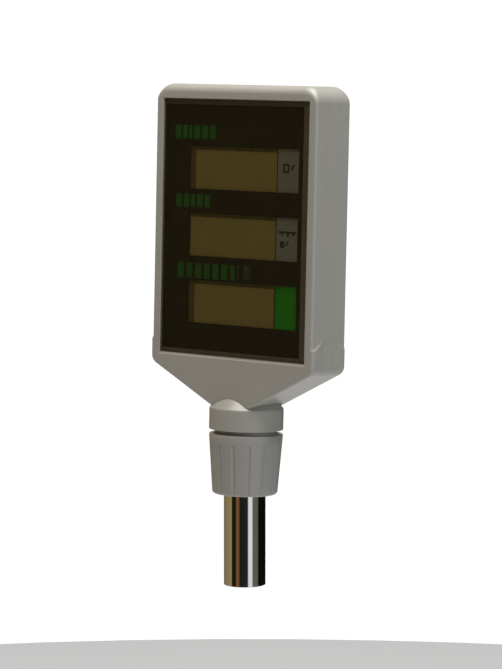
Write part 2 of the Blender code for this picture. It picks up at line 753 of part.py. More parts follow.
def make_board():
    board = box(
        "circuit_board",
        (-CARRIER_HALF, BOARD_FRONT, CARRIER_LOW),
        (CARRIER_HALF, BOARD_BACK, CARRIER_HIGH),
        "circuit_board",
    )
    holes = [
        rod(f"board_hole_{i}", place, BOARD_HOLE_RADIUS, BOARD_FRONT - GAP, BOARD_BACK + GAP)
        for i, place in enumerate(board_screw_places())
    ]
    combine(board, holes, "DIFFERENCE")
    behind = BOARD_BACK + GAP
    chip_width, chip_height, chip_thickness = DRIVER_SIZE
    for row in range(ROWS):
        middle = row_bottom(row) + APERTURE_HEIGHT / 2
        left = APERTURE_LEFT + chip_width / 2
        box(
            f"display_driver_{row + 1}",
            (left, behind, middle - chip_height / 2),
            (left + chip_width, behind + chip_thickness, middle + chip_height / 2),
            "black_plastic",
        )
    socket_width, socket_height, socket_depth = SOCKET_SIZE
    socket_low = CARRIER_LOW + 2 * BOARD_SCREW_INSET
    socket = box(
        "signal_socket",
        (-socket_width / 2, behind, socket_low),
        (socket_width / 2, behind + socket_depth, socket_low + socket_height),
        "white_plastic",
    )
    mouth_half = socket_width / 2 - SOCKET_WALL
    mouth_high = socket_low + socket_height - SOCKET_WALL
    mouth = box(
        "socket_mouth",
        (-mouth_half, behind + 2 * SOCKET_WALL, socket_low + SOCKET_WALL),
        (mouth_half, behind + socket_depth + GAP, mouth_high),
    )
    combine(socket, [mouth], "DIFFERENCE")
    rod(
        "smoothing_capacitor",
        (APERTURE_RIGHT - 3 * CAPACITOR_RADIUS, row_bottom(0) + CAPACITOR_RADIUS),
        CAPACITOR_RADIUS,
        behind,
        behind + CAPACITOR_LENGTH,
        "black_plastic",
        BORE_STEPS,
    )
    for i, place in enumerate(board_screw_places()):
        rings = [
            (SHELF_FRONT + 4 * GAP, BOARD_SCREW_RADIUS),
            (behind, BOARD_SCREW_RADIUS),
            (behind, BOARD_HEAD_RADIUS),
            (behind + BOARD_HEAD_THICKNESS, BOARD_HEAD_RADIUS),
        ]
        stepped_rod(f"board_screw_{i + 1}", place, rings, "zinc_steel")


def make_case_screws():
    seat = BACK - COUNTERBORE_DEPTH + GAP
    for i, place in enumerate(boss_places()):
        rings = [
            (PILOT_END + GAP, CASE_SCREW_RADIUS),
            (seat, CASE_SCREW_RADIUS),
            (seat, CASE_HEAD_RADIUS),
            (seat + CASE_HEAD_THICKNESS, CASE_HEAD_RADIUS),
        ]
        stepped_rod(f"case_screw_{i + 1}", place, rings, "zinc_steel")
        cap_radius = COUNTERBORE_RADIUS - GAP
        cap = [(BACK - GAP - CAP_THICKNESS, cap_radius), (BACK - GAP, cap_radius)]
        stepped_rod(f"screw_cap_{i + 1}", place, cap, "housing_abs", BORE_STEPS)


# ---------------------------------------------------------------- pole, bush and clamp
def make_pole():
    inner = POLE_RADIUS - POLE_WALL
    turned(
        "pole_tube",
        [(POLE_RADIUS, POLE_LENGTH), (POLE_RADIUS, 0), (inner, 0), (inner, POLE_LENGTH)],
        "chrome",
        parent=None,
    )
    plug = inner - GAP
    hole = plug - GUARD_WALL
    lip = POLE_LENGTH + GAP
    turned(
        "cable_guard",
        [
            (POLE_RADIUS, lip + GUARD_LIP),
            (POLE_RADIUS, lip),
            (plug, lip),
            (plug, POLE_LENGTH - GUARD_DEPTH),
            (hole, POLE_LENGTH - GUARD_DEPTH),
            (hole, lip + GUARD_LIP),
        ],
        "rubber",
        parent=None,
    )
    low = STUB_LENGTH + RETAINER_BOTTOM
    turned(
        "retaining_ring",
        [
            (RETAINER_RADIUS, low + RETAINER_THICKNESS),
            (RETAINER_RADIUS, low),
            (POLE_RADIUS + GAP, low),
            (POLE_RADIUS + GAP, low + RETAINER_THICKNESS),
        ],
        "spring_steel",
        parent=None,
    )


def make_bush():
    """Its outside leans with the neck and its bore stands on the pole's axis."""
    flange = RING_CAVITY - GAP
    start = BUSH_BORE - 8 * GAP
    bush = turned(
        "swivel_bush",
        [
            (flange, FLANGE_TOP),
            (flange, FLANGE_SEAT + GAP),
            (BUSH_RADIUS, FLANGE_SEAT + GAP),
            (BUSH_RADIUS, CORE_BOTTOM + GAP),
            (start, CORE_BOTTOM + GAP),
            (start, FLANGE_TOP),
        ],
        "acetal",
    )
    reach = STUB_LENGTH + RING_TOP
    bore = turned(
        "bush_bore",
        [(BUSH_BORE, reach), (BUSH_BORE, STUB_LENGTH), (AXIS_HOLE, STUB_LENGTH), (AXIS_HOLE, reach)],
        parent=None,
    )
    combine(bush, [bore], "DIFFERENCE")


def seat_radius(height):
    """Inside of the collar's clamping cone at this height."""
    share = (height - SEAT_BOTTOM) / (SEAT_TOP - SEAT_BOTTOM)
    return SEAT_LOW_RADIUS + share * (COLLAR_BORE - SEAT_LOW_RADIUS)


def make_clamp():
    washer_top = CORE_BOTTOM - GAP
    washer_bottom = washer_top - WASHER_THICKNESS
    washer_radius = seat_radius(washer_bottom) - GAP
    turned(
        "slip_washer",
        [
            (washer_radius, washer_top),
            (washer_radius, washer_bottom),
            (CLAMP_BORE, washer_bottom),
            (CLAMP_BORE, washer_top),
        ],
        "acetal",
    )
    top, bottom = washer_bottom - GAP, SEAT_BOTTOM + GAP
    collet = turned(
        "split_collet",
        [
            (seat_radius(top) - 2 * GAP, top),
            (seat_radius(bottom) - 2 * GAP, bottom),
            (CLAMP_BORE, bottom),
            (CLAMP_BORE, top),
        ],
        "acetal",
    )
    half = COLLET_SLIT / 2
    slit = box("collet_slit", (-half, AXIS_HOLE, bottom - GAP), (half, NECK_RADIUS, top + GAP))
    combine(collet, [slit], "DIFFERENCE")


def collar_radius(height):
    """Outside of the collar at this height, tapering from its top edge to its bottom."""
    share = (COLLAR_TOP - height) / COLLAR_HEIGHT
    return NECK_RADIUS - COLLAR_TAPER * share


def make_collar():
    round_height = COLLAR_LIFT + COLLAR_ROUND
    round_center = (collar_radius(round_height) - COLLAR_ROUND, round_height)
    profile = [
        (COLLAR_BORE, COLLAR_TOP),
        (NECK_RADIUS, COLLAR_TOP - COLLAR_TOP_BEVEL),
        *arc(round_center, COLLAR_ROUND, COLLAR_ROUND, 0, -90, 4),
        (COLLAR_HOLE, COLLAR_LIFT),
        (COLLAR_HOLE, SEAT_BOTTOM),
        (SEAT_LOW_RADIUS, SEAT_BOTTOM),
        (COLLAR_BORE, SEAT_TOP),
    ]
    collar = turned("collar_nut", profile, "housing_abs")
    flute_top = COLLAR_TOP - SMOOTH_BAND
    flute_bottom = COLLAR_LIFT - FLUTE_RADIUS
    offset = FLUTE_RADIUS - FLUTE_DEPTH
    flutes = []
    for i in range(FLUTES):
        turn = Matrix.Rotation(2 * math.pi * (i + 0.5) / FLUTES, 4, "Z")
        top = turn @ Vector((collar_radius(flute_top) + offset, 0, flute_top))
        bottom = turn @ Vector((collar_radius(flute_bottom) + offset, 0, flute_bottom))
        flutes.append(slanted_rod(f"flute_{i}", bottom, top, FLUTE_RADIUS))
    combine(collar, flutes, "DIFFERENCE")


def main():
    make_front_shell()
    make_rear_shell()
    make_neck_frame()
    make_window()
    make_carrier()
    make_displays()
    make_board()
    make_case_screws()
    make_pole()
    make_bush()
    make_clamp()
    make_collar()
    for obj in PARTS.objects:
        if obj.type == "MESH" and not any(m.type == "SCREW" for m in obj.modifiers):
            shade_round(obj)


main()
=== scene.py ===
"""Looks, light and camera for a customer display head on a chromed pole.

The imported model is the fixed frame. Finer meshes stand for its outer mouldings, the layers of
its window, the collar nut and the tube. The hidden pieces keep their own solids, and every
piece is dressed in a procedural finish. Lengths are in metres. On the head, heights run up its
leaning axis from the point where it leans.
"""

import logging
import math
from dataclasses import dataclass, field
from enum import Enum

import bmesh
import bpy
from mathutils import Matrix, Vector


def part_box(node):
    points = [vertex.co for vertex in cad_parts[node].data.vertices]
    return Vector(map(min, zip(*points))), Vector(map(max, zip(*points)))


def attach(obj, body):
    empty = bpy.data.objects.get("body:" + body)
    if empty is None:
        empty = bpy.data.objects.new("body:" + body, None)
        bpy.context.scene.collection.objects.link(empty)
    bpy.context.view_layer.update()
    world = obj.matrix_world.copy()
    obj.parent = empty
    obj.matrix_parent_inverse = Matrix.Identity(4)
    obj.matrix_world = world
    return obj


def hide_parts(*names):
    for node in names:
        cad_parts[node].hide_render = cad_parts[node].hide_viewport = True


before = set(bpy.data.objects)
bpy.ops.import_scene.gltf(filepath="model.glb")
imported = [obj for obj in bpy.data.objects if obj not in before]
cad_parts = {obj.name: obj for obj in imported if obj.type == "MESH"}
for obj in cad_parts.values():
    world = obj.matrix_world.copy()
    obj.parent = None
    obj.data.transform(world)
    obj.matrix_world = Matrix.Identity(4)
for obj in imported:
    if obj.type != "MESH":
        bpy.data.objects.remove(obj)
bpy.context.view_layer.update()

logging.basicConfig(level=logging.INFO, format="%(name)s: %(message)s")
LOG = logging.getLogger("display_head")

MM = 0.001
CUT_LEAD = 0.6 * MM  # how far a tool runs past the surface that it cuts
AXIS_HOLE = 2 * MM  # radius that turned tools keep clear of their own axis
CAPS = range(1, 7)  # numbers of the screw caps

Pair = tuple[float, float]
Triple = tuple[float, float, float]
Outline = list[Pair]
BMesh = bmesh.types.BMesh
Object = bpy.types.Object
Socket = bpy.types.NodeSocket


class Body(Enum):
    """Rigid bodies that a piece can ride on."""

    POLE = "pole"
    HEAD = "head"
    CLAMP = "clamp_ring"
    COLLAR = "collar"


class Cut(Enum):
    """How a tool changes a piece."""

    TAKE = "DIFFERENCE"
    JOIN = "UNION"


# ---------------------------------------------------------------- finishes
class NodeSheet:
    """Short calls for laying out one material's nodes."""

    def __init__(self, name: str) -> None:
        """Start a material with its shader and object coordinates.

        Args:
            name: The material's name.
        """
        self.material = bpy.data.materials.new(name)
        self.material.use_nodes = True
        self.tree = self.material.node_tree
        self.shader = self.tree.nodes["Principled BSDF"]
        self.place = self.tree.nodes.new("ShaderNodeTexCoord").outputs["Object"]

    def add(self, kind: str, **values: object) -> bpy.types.Node:
        """Add a node.

        Args:
            kind: The node's type, without its ShaderNode prefix.
            **values: Node settings by attribute name.

        Returns:
            The new node.
        """
        node = self.tree.nodes.new(f"ShaderNode{kind}")
        for key, value in values.items():
            setattr(node, key, value)
        return node

    def link(self, source: Socket, target: Socket) -> None:
        """Join an output to an input."""
        self.tree.links.new(source, target)

    def stretched(self, scale: Triple) -> Socket:
        """Object coordinates scaled unevenly.

        Args:
            scale: The factor along each axis.

        Returns:
            The scaled coordinates.
        """
        mapping = self.add("Mapping")
        mapping.inputs["Scale"].default_value = scale
        self.link(self.place, mapping.inputs["Vector"])
        return mapping.outputs["Vector"]

    def noise(
        self, per_metre: float, detail: float = 2.0, where: Socket | None = None
    ) -> Socket:
        """Fractal noise.

        Args:
            per_metre: How many features lie along a metre.
            detail: How many finer layers are added.
            where: Coordinates to use instead of the object's.

        Returns:
            The noise value, about 0.5 on average.
        """
        noise = self.add("TexNoise")
        noise.inputs["Scale"].default_value = per_metre
        noise.inputs["Detail"].default_value = detail
        self.link(where or self.place, noise.inputs["Vector"])
        return noise.outputs["Fac"]

    def spread(
        self, value: Socket, low: float, high: float, start: float = 0.3, end: float = 0.7
    ) -> Socket:
        """Map a value onto a range.

        Args:
            value: What is mapped.
            low: Result at the start.
            high: Result at the end.
            start: Input that gives low.
            end: Input that gives high.

        Returns:
            The mapped value.
        """
        ranged = self.add("MapRange")
        limits = {"From Min": start, "From Max": end, "To Min": low, "To Max": high}
        for key, number in limits.items():
            ranged.inputs[key].default_value = number
        self.link(value, ranged.inputs["Value"])
        return ranged.outputs["Result"]

    def blend(self, share: Socket, first: Triple, second: Triple) -> Socket:
        """Colour between two colours.

        Args:
            share: 0 gives the first colour and 1 the second.
            first: Linear colour.
            second: Linear colour.

        Returns:
            The blended colour.
        """
        mix = self.add("Mix", data_type="RGBA")
        mix.inputs[6].default_value = (*first, 1)
        mix.inputs[7].default_value = (*second, 1)
        self.link(share, mix.inputs[0])
        return mix.outputs[2]

    def bump(self, height: Socket, distance: float, strength: float = 1.0) -> None:
        """Raise the surface by a height pattern, on top of any bump that is already there.

        Args:
            height: The pattern.
            distance: Metres between its lowest and highest points.
            strength: Share of the effect.
        """
        bump = self.add("Bump")
        bump.inputs["Distance"].default_value = distance
        bump.inputs["Strength"].default_value = strength
        self.link(height, bump.inputs["Height"])
        normal = self.shader.inputs["Normal"]
        if normal.is_linked:
            self.link(normal.links[0].from_socket, bump.inputs["Normal"])
        self.link(bump.outputs["Normal"], normal)


@dataclass(frozen=True)
class Finish:
    """A surface with a slightly uneven colour and gloss.

    Attributes:
        name: Material name.
        slot: The record's material slot.
        color: Main linear colour.
        second: Colour that it drifts to.
        roughness: Average roughness.
        roughness_drift: How far roughness strays to each side.
        metallic: 1 for a metal.
        grain_per_metre: Fineness of the surface texture.
        grain_depth: Height of that texture.
        patch_per_metre: Fineness of the colour drift.
    """

    name: str
    slot: str
    color: Triple
    second: Triple
    roughness: float = 0.5
    roughness_drift: float = 0.05
    metallic: float = 0.0
    grain_per_metre: float = 2600.0
    grain_depth: float = 0.00002
    patch_per_metre: float = 60.0

    def material(self) -> bpy.types.Material:
        """Build the material.

        Returns:
            The finished material.
        """
        sheet = NodeSheet(self.name)
        shader = sheet.shader
        shader.inputs["Metallic"].default_value = self.metallic
        patches = sheet.noise(self.patch_per_metre, 3)
        sheet.link(
            sheet.blend(sheet.spread(patches, 0, 1), self.color, self.second),
            shader.inputs["Base Color"],
        )
        sheet.link(
            sheet.spread(
                sheet.noise(self.patch_per_metre * 2.3, 4),
                self.roughness - self.roughness_drift,
                self.roughness + self.roughness_drift,
            ),
            shader.inputs["Roughness"],
        )
        sheet.bump(sheet.noise(self.grain_per_metre, 2), self.grain_depth)
        self.add_detail(sheet)
        return sheet.material

    def add_detail(self, sheet: NodeSheet) -> None:
        """Add what one kind of finish has beyond the common nodes; a plain finish has nothing."""


@dataclass(frozen=True)
class MouldedPlastic(Finish):
    """Spark-eroded housing plastic: pebbled grain, faint flow marks and fine scuffs."""

    pebble_per_metre: float = 1150.0
    pebble_depth: float = 0.000035
    specular: float = 0.42

    def add_detail(self, sheet: NodeSheet) -> None:
        """Add the pebble, the scuffs and the specular level.

        Args:
            sheet: The material's nodes.
        """
        sheet.shader.inputs["Specular IOR Level"].default_value = self.specular
        pebble = sheet.add("TexVoronoi", feature="SMOOTH_F1")
        pebble.inputs["Scale"].default_value = self.pebble_per_metre
        sheet.link(sheet.place, pebble.inputs["Vector"])
        sheet.bump(pebble.outputs["Distance"], self.pebble_depth, 0.6)
        scuffs = sheet.noise(420, 5, sheet.stretched((1.0, 1.0, 0.12)))
        sheet.bump(sheet.spread(scuffs, 0, 1, 0.62, 0.72), 0.00001, 0.5)


@dataclass(frozen=True)
class SmokedPanel(Finish):
    """Clear smoked acrylic, seen through as two even films, its front and its back."""

    alpha: float = 0.3
    index: float = 1.49
    specular: float = 0.12

    def add_detail(self, sheet: NodeSheet) -> None:
        """Let the panel be seen through and keep its mirror image weak.

        Args:
            sheet: The material's nodes.
        """
        sheet.shader.inputs["Alpha"].default_value = self.alpha
        sheet.shader.inputs["IOR"].default_value = self.index
        sheet.shader.inputs["Specular IOR Level"].default_value = self.specular


@dataclass(frozen=True)
class ChromePlate(Finish):
    """Bright chrome with faint polishing lines along the tube."""

    def add_detail(self, sheet: NodeSheet) -> None:
        """Add the polishing lines."""
        lines = sheet.noise(900, 2, sheet.stretched((1.0, 1.0, 0.01)))
        sheet.bump(lines, 0.000004, 0.5)


@dataclass(frozen=True)
class LiquidCrystal(Finish):
    """Glass or film of an unpowered display, under a thin clear coat."""

    coat: float = 0.4
    coat_roughness: float = 0.12

    def add_detail(self, sheet: NodeSheet) -> None:
        """Add the coat."""
        sheet.shader.inputs["Coat Weight"].default_value = self.coat
        sheet.shader.inputs["Coat Roughness"].default_value = self.coat_roughness


@dataclass(frozen=True)
class PrintedBoard(Finish):
    """Green board with copper tracks showing through the mask."""

    track_color: Triple = (0.02, 0.17, 0.05)
    tracks_per_metre: float = 240.0
    unevenness: float = 0.55

    def add_detail(self, sheet: NodeSheet) -> None:
        """Draw the tracks as the walls of uneven cells.

        Args:
            sheet: The material's nodes.
        """
        cells = sheet.add("TexVoronoi", feature="DISTANCE_TO_EDGE", distance="EUCLIDEAN")
        cells.inputs["Scale"].default_value = self.tracks_per_metre
        cells.inputs["Randomness"].default_value = self.unevenness
        sheet.link(sheet.place, cells.inputs["Vector"])
        tracks = sheet.spread(cells.outputs["Distance"], 1, 0, 0.04, 0.09)
        color = sheet.blend(tracks, self.color, self.track_color)
        sheet.link(color, sheet.shader.inputs["Base Color"])
        sheet.bump(tracks, 0.00003, 0.6)


@dataclass(frozen=True)
class ConnectorStrip(Finish):
    """Pink silicone with fine black conducting layers."""

    layers_per_metre: float = 5000.0
    layer_color: Triple = (0.02, 0.02, 0.02)

    def add_detail(self, sheet: NodeSheet) -> None:
        """Add the conducting layers as bands across the strip.

        Args:
            sheet: The material's nodes.
        """
        wave = sheet.add("TexWave", wave_type="BANDS", bands_direction="X")
        wave.inputs["Scale"].default_value = self.layers_per_metre / math.tau
        sheet.link(sheet.place, wave.inputs["Vector"])
        layers = sheet.spread(wave.outputs["Fac"], 0, 1, 0.4, 0.6)
        color = sheet.blend(layers, self.color, self.layer_color)
        sheet.link(color, sheet.shader.inputs["Base Color"])


@dataclass(frozen=True)
class TurnedMetal(Finish):
    """Plated steel with fine rings left by turning."""

    def add_detail(self, sheet: NodeSheet) -> None:
        """Add the rings as a stretched noise."""
        sheet.bump(sheet.noise(1500, 2, sheet.stretched((1.0, 0.05, 1.0))), 0.000006, 0.6)


HOUSING = MouldedPlastic(
    "grey_housing_plastic", "housing", (0.375, 0.37, 0.345), (0.36, 0.356, 0.333), 0.34, 0.03,
    grain_depth=0.000008, patch_per_metre=35.0, specular=0.7, pebble_depth=0.00002,
)
COLLAR_PLASTIC = MouldedPlastic(
    "collar_plastic", "housing", (0.345, 0.34, 0.322), (0.33, 0.325, 0.31), 0.36, 0.04,
    grain_depth=0.000008, patch_per_metre=45.0, specular=0.65, pebble_depth=0.00002,
)
SMOKE = SmokedPanel(
    "smoked_acrylic", "smoked_acrylic", (0.016, 0.010, 0.0004), (0.018, 0.011, 0.0005), 0.06, 0.02,
    grain_per_metre=900.0, grain_depth=0.0000004,
)
TAPE = Finish(
    "pale_foam_tape", "foam_tape", (0.21, 0.185, 0.115), (0.19, 0.165, 0.105), 0.85,
    grain_depth=0.00005,
)
MASK = Finish("black_card", "black_print", (0.008, 0.006, 0.004), (0.012, 0.009, 0.006), 0.6)
FILM = LiquidCrystal(
    "polariser_film", "lcd_glass", (0.36, 0.265, 0.07), (0.33, 0.255, 0.075), 0.3, 0.03,
    grain_depth=0.000002, patch_per_metre=22.0,
)
GLASS = LiquidCrystal(
    "display_glass", "lcd_glass", (0.125, 0.098, 0.036), (0.115, 0.092, 0.035), 0.3, 0.03,
    grain_depth=0.000002, patch_per_metre=22.0,
)
CARD = Finish("grey_unit_card", "unit_print", (0.3, 0.29, 0.19), (0.28, 0.27, 0.175), 0.6)
GREEN_CARD = Finish(
    "green_unit_card", "unit_print_green", (0.003, 0.40, 0.008), (0.004, 0.33, 0.008), 0.55
)
LEGEND = Finish(
    "green_legend_ink", "black_print", (0.006, 0.17, 0.012), (0.005, 0.11, 0.01), 0.6
)
DULL_LEGEND = Finish(
    "dull_legend_ink", "black_print", (0.05, 0.06, 0.035), (0.035, 0.05, 0.03), 0.6
)
MARK = Finish("unit_mark_ink", "black_print", (0.03, 0.034, 0.02), (0.045, 0.045, 0.03), 0.6)
LIGHT_GUIDE = Finish(
    "milky_light_guide", "light_guide", (0.76, 0.78, 0.72), (0.7, 0.73, 0.68), 0.3
)
ZEBRA = ConnectorStrip(
    "layered_elastomer", "elastomer", (0.31, 0.1, 0.13), (0.28, 0.09, 0.12), 0.7
)
WHITE_PLASTIC = Finish(
    "white_carrier_plastic", "white_plastic", (0.55, 0.52, 0.45), (0.5, 0.48, 0.42), 0.5
)
BOARD = PrintedBoard(
    "circuit_board_mask", "circuit_board", (0.01, 0.1, 0.03), (0.012, 0.12, 0.035), 0.4
)
CHIP = Finish("chip_moulding", "black_plastic", (0.012, 0.012, 0.013), (0.02, 0.02, 0.02), 0.55)
CHROME = ChromePlate(
    "chrome_plate", "chrome", (0.80, 0.80, 0.80), (0.76, 0.765, 0.77), 0.045, 0.02, 1.0,
    grain_per_metre=300.0, grain_depth=0.0000004,
)
ZINC = TurnedMetal(
    "zinc_plated_steel", "zinc_steel", (0.52, 0.53, 0.53), (0.46, 0.48, 0.5), 0.33, 0.06, 1.0
)
SPRING = TurnedMetal(
    "dark_spring_steel", "spring_steel", (0.19, 0.2, 0.21), (0.15, 0.16, 0.18), 0.35, 0.06, 1.0
)
ACETAL = Finish("waxy_acetal", "acetal", (0.7, 0.69, 0.63), (0.66, 0.65, 0.6), 0.38)
RUBBER = Finish(
    "black_rubber", "rubber", (0.02, 0.02, 0.021), (0.03, 0.03, 0.03), 0.8, grain_depth=0.00004
)
LOOKS = (
    HOUSING, COLLAR_PLASTIC, SMOKE, TAPE, MASK, FILM, GLASS, CARD, GREEN_CARD, LEGEND,
    DULL_LEGEND, MARK, LIGHT_GUIDE, ZEBRA, WHITE_PLASTIC, BOARD, CHIP, CHROME, ZINC, SPRING,
    ACETAL, RUBBER,
)
MATERIALS = {look.name: look.material() for look in LOOKS}


# ---------------------------------------------------------------- mesh tools
@dataclass(frozen=True)
class LeaningAxis:
    """The head's own axis, which leans back from the pole."""

    pivot_height: float = 0.053
    lean: float = math.radians(1.9)

    def matrix(self) -> Matrix:
        """Head coordinates to the object's."""
        return Matrix.Translation((0, 0, self.pivot_height)) @ Matrix.Rotation(-self.lean, 4, "X")


AXIS = LeaningAxis()


def new_piece(
    name: str, bm: BMesh, look: Finish | None = None, leaning: bool = True
) -> Object:
    """Turn mesh code into an object.

    Args:
        name: The piece's name.
        bm: Its mesh, in head coordinates if it leans. It is freed.
        look: Its finish, or None for a tool.
        leaning: Whether the mesh is in head coordinates.

    Returns:
        The new object, at the origin.
    """
    bmesh.ops.recalc_face_normals(bm, faces=bm.faces)
    if leaning:
        bmesh.ops.transform(bm, matrix=AXIS.matrix(), verts=bm.verts)
    mesh = bpy.data.meshes.new(name)
    bm.to_mesh(mesh)
    bm.free()
    piece = bpy.data.objects.new(name, mesh)
    bpy.context.scene.collection.objects.link(piece)
    if look:
        mesh.materials.append(MATERIALS[look.name])
    return piece


def loft(rings: list[list[Vector]], closed: bool = False) -> BMesh:
    """Skin rings of equal length.

    Args:
        rings: Closed rings of points, one after another.
        closed: Whether the last ring joins the first; if not, both ends are capped.

    Returns:
        The skinned mesh.
    """
    bm = bmesh.new()
    rows = [[bm.verts.new(point) for point in ring] for ring in rings]
    pairs = list(zip(rows, rows[1:])) + ([(rows[-1], rows[0])] if closed else [])
    for first, second in pairs:
        for i in range(len(first)):
            j = (i + 1) % len(first)
            bm.faces.new((first[i], first[j], second[j], second[i]))
    if not closed:
        bm.faces.new(rows[0])
        bm.faces.new(rows[-1])
    return bm


def prism(sections: list[tuple[float, Outline]]) -> BMesh:
    """Skin outlines that stand one behind another.

    Args:
        sections: Each (depth, outline of (x, height) points).

    Returns:
        The skinned mesh.
    """
    return loft([[Vector((x, y, h)) for x, h in outline] for y, outline in sections])


def turned(profile: Outline, steps: int) -> BMesh:
    """Turn a closed (radius, height) outline round the axis.

    Args:
        profile: The closed outline.
        steps: How many sides the ring has.

    Returns:
        The turned ring.
    """
    rings = []
    for radius, height in profile:
        angles = (math.tau * i / steps for i in range(steps))
        rings.append([Vector((radius * math.cos(a), radius * math.sin(a), height)) for a in angles])
    return loft(rings, closed=True)


def slab(low: Triple, high: Triple, round_edge: float) -> BMesh:
    """A block with rounded edges.

    Args:
        low: Its lowest corner.
        high: Its highest corner.
        round_edge: Radius of its edges.

    Returns:
        The block.
    """
    bm = bmesh.new()
    bmesh.ops.create_cube(bm, size=1)
    size, middle = Vector(high) - Vector(low), (Vector(high) + Vector(low)) / 2
    place = Matrix.Translation(middle) @ Matrix.Diagonal((*size, 1))
    bmesh.ops.transform(bm, matrix=place, verts=bm.verts)
    if round_edge:
        bmesh.ops.bevel(
            bm, geom=bm.edges[:], offset=round_edge, segments=3, profile=0.5, affect="EDGES"
        )
    return bm


def arc(center: Pair, radii: Pair, start: float, end: float, steps: int) -> Outline:
    """Points on an elliptical arc.

    Args:
        center: Its middle.
        radii: Across and up.
        start: First angle in degrees, from across towards up.
        end: Last angle.
        steps: Number of chords.

    Returns:
        The points, both ends included.
    """
    angles = [math.radians(start + (end - start) * i / steps) for i in range(steps + 1)]
    (x, h), (across, up) = center, radii
    return [(x + across * math.cos(a), h + up * math.sin(a)) for a in angles]


def apply_tools(piece: Object, tools: list[Object], how: Cut) -> None:
    """Cut or join tools into a piece and discard them.

    Args:
        piece: What is changed.
        tools: The tools, which are deleted.
        how: Whether they take away or join.
    """
    for tool in tools:
        modifier = piece.modifiers.new(how.name.lower(), "BOOLEAN")
        modifier.operation = how.value
        modifier.solver = "EXACT"
        modifier.object = tool
    bake_modifiers(piece)
    for tool in tools:
        bpy.data.objects.remove(tool, do_unlink=True)


def bake_modifiers(piece: Object) -> None:
    """Replace a piece's mesh by what its modifiers make of it.

    Args:
        piece: The piece, which is left without modifiers.
    """
    bpy.context.view_layer.update()
    evaluated = piece.evaluated_get(bpy.context.evaluated_depsgraph_get())
    mesh = bpy.data.meshes.new_from_object(evaluated)
    piece.modifiers.clear()
    piece.data = mesh


def smooth(piece: Object, sharp_degrees: float = 30.0, weighted: bool = True) -> None:
    """Shade a piece smoothly between its real edges.

    Args:
        piece: What is shaded.
        sharp_degrees: Edges turned more than this stay sharp.
        weighted: Whether large faces hold their flat shading.
    """
    piece.data.shade_smooth()
    piece.data.set_sharp_from_angle(angle=math.radians(sharp_degrees))
    if weighted:
        modifier = piece.modifiers.new("weighted", "WEIGHTED_NORMAL")
        modifier.keep_sharp = True
        modifier.weight = 100
        bake_modifiers(piece)


def settle(piece: Object, body: Body, look: Finish, *nodes: str) -> None:
    """Hang a piece on its body, hide the CAD nodes that it replaces and log what it stands for.

    Args:
        piece: The piece.
        body: The body it rides on.
        look: The finish it wears; not used.
        *nodes: CAD nodes that it replaces.
    """
    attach(piece, body.value)
    if nodes:
        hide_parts(*nodes)
    faces = len(piece.data.polygons)
    LOG.info("%s: %d faces, on %s, for %s", piece.name, faces, body.value, nodes or "itself")
    for node in nodes:
        low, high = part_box(node)
        points = [vertex.co for vertex in piece.data.vertices]
        off = max(
            max(abs(min(p[k] for p in points) - low[k]), abs(max(p[k] for p in points) - high[k]))
            for k in range(3)
        )
        if off > 0.5 * MM:
            LOG.info("%s differs from the box of %s by %.2f mm", piece.name, node, off / MM)


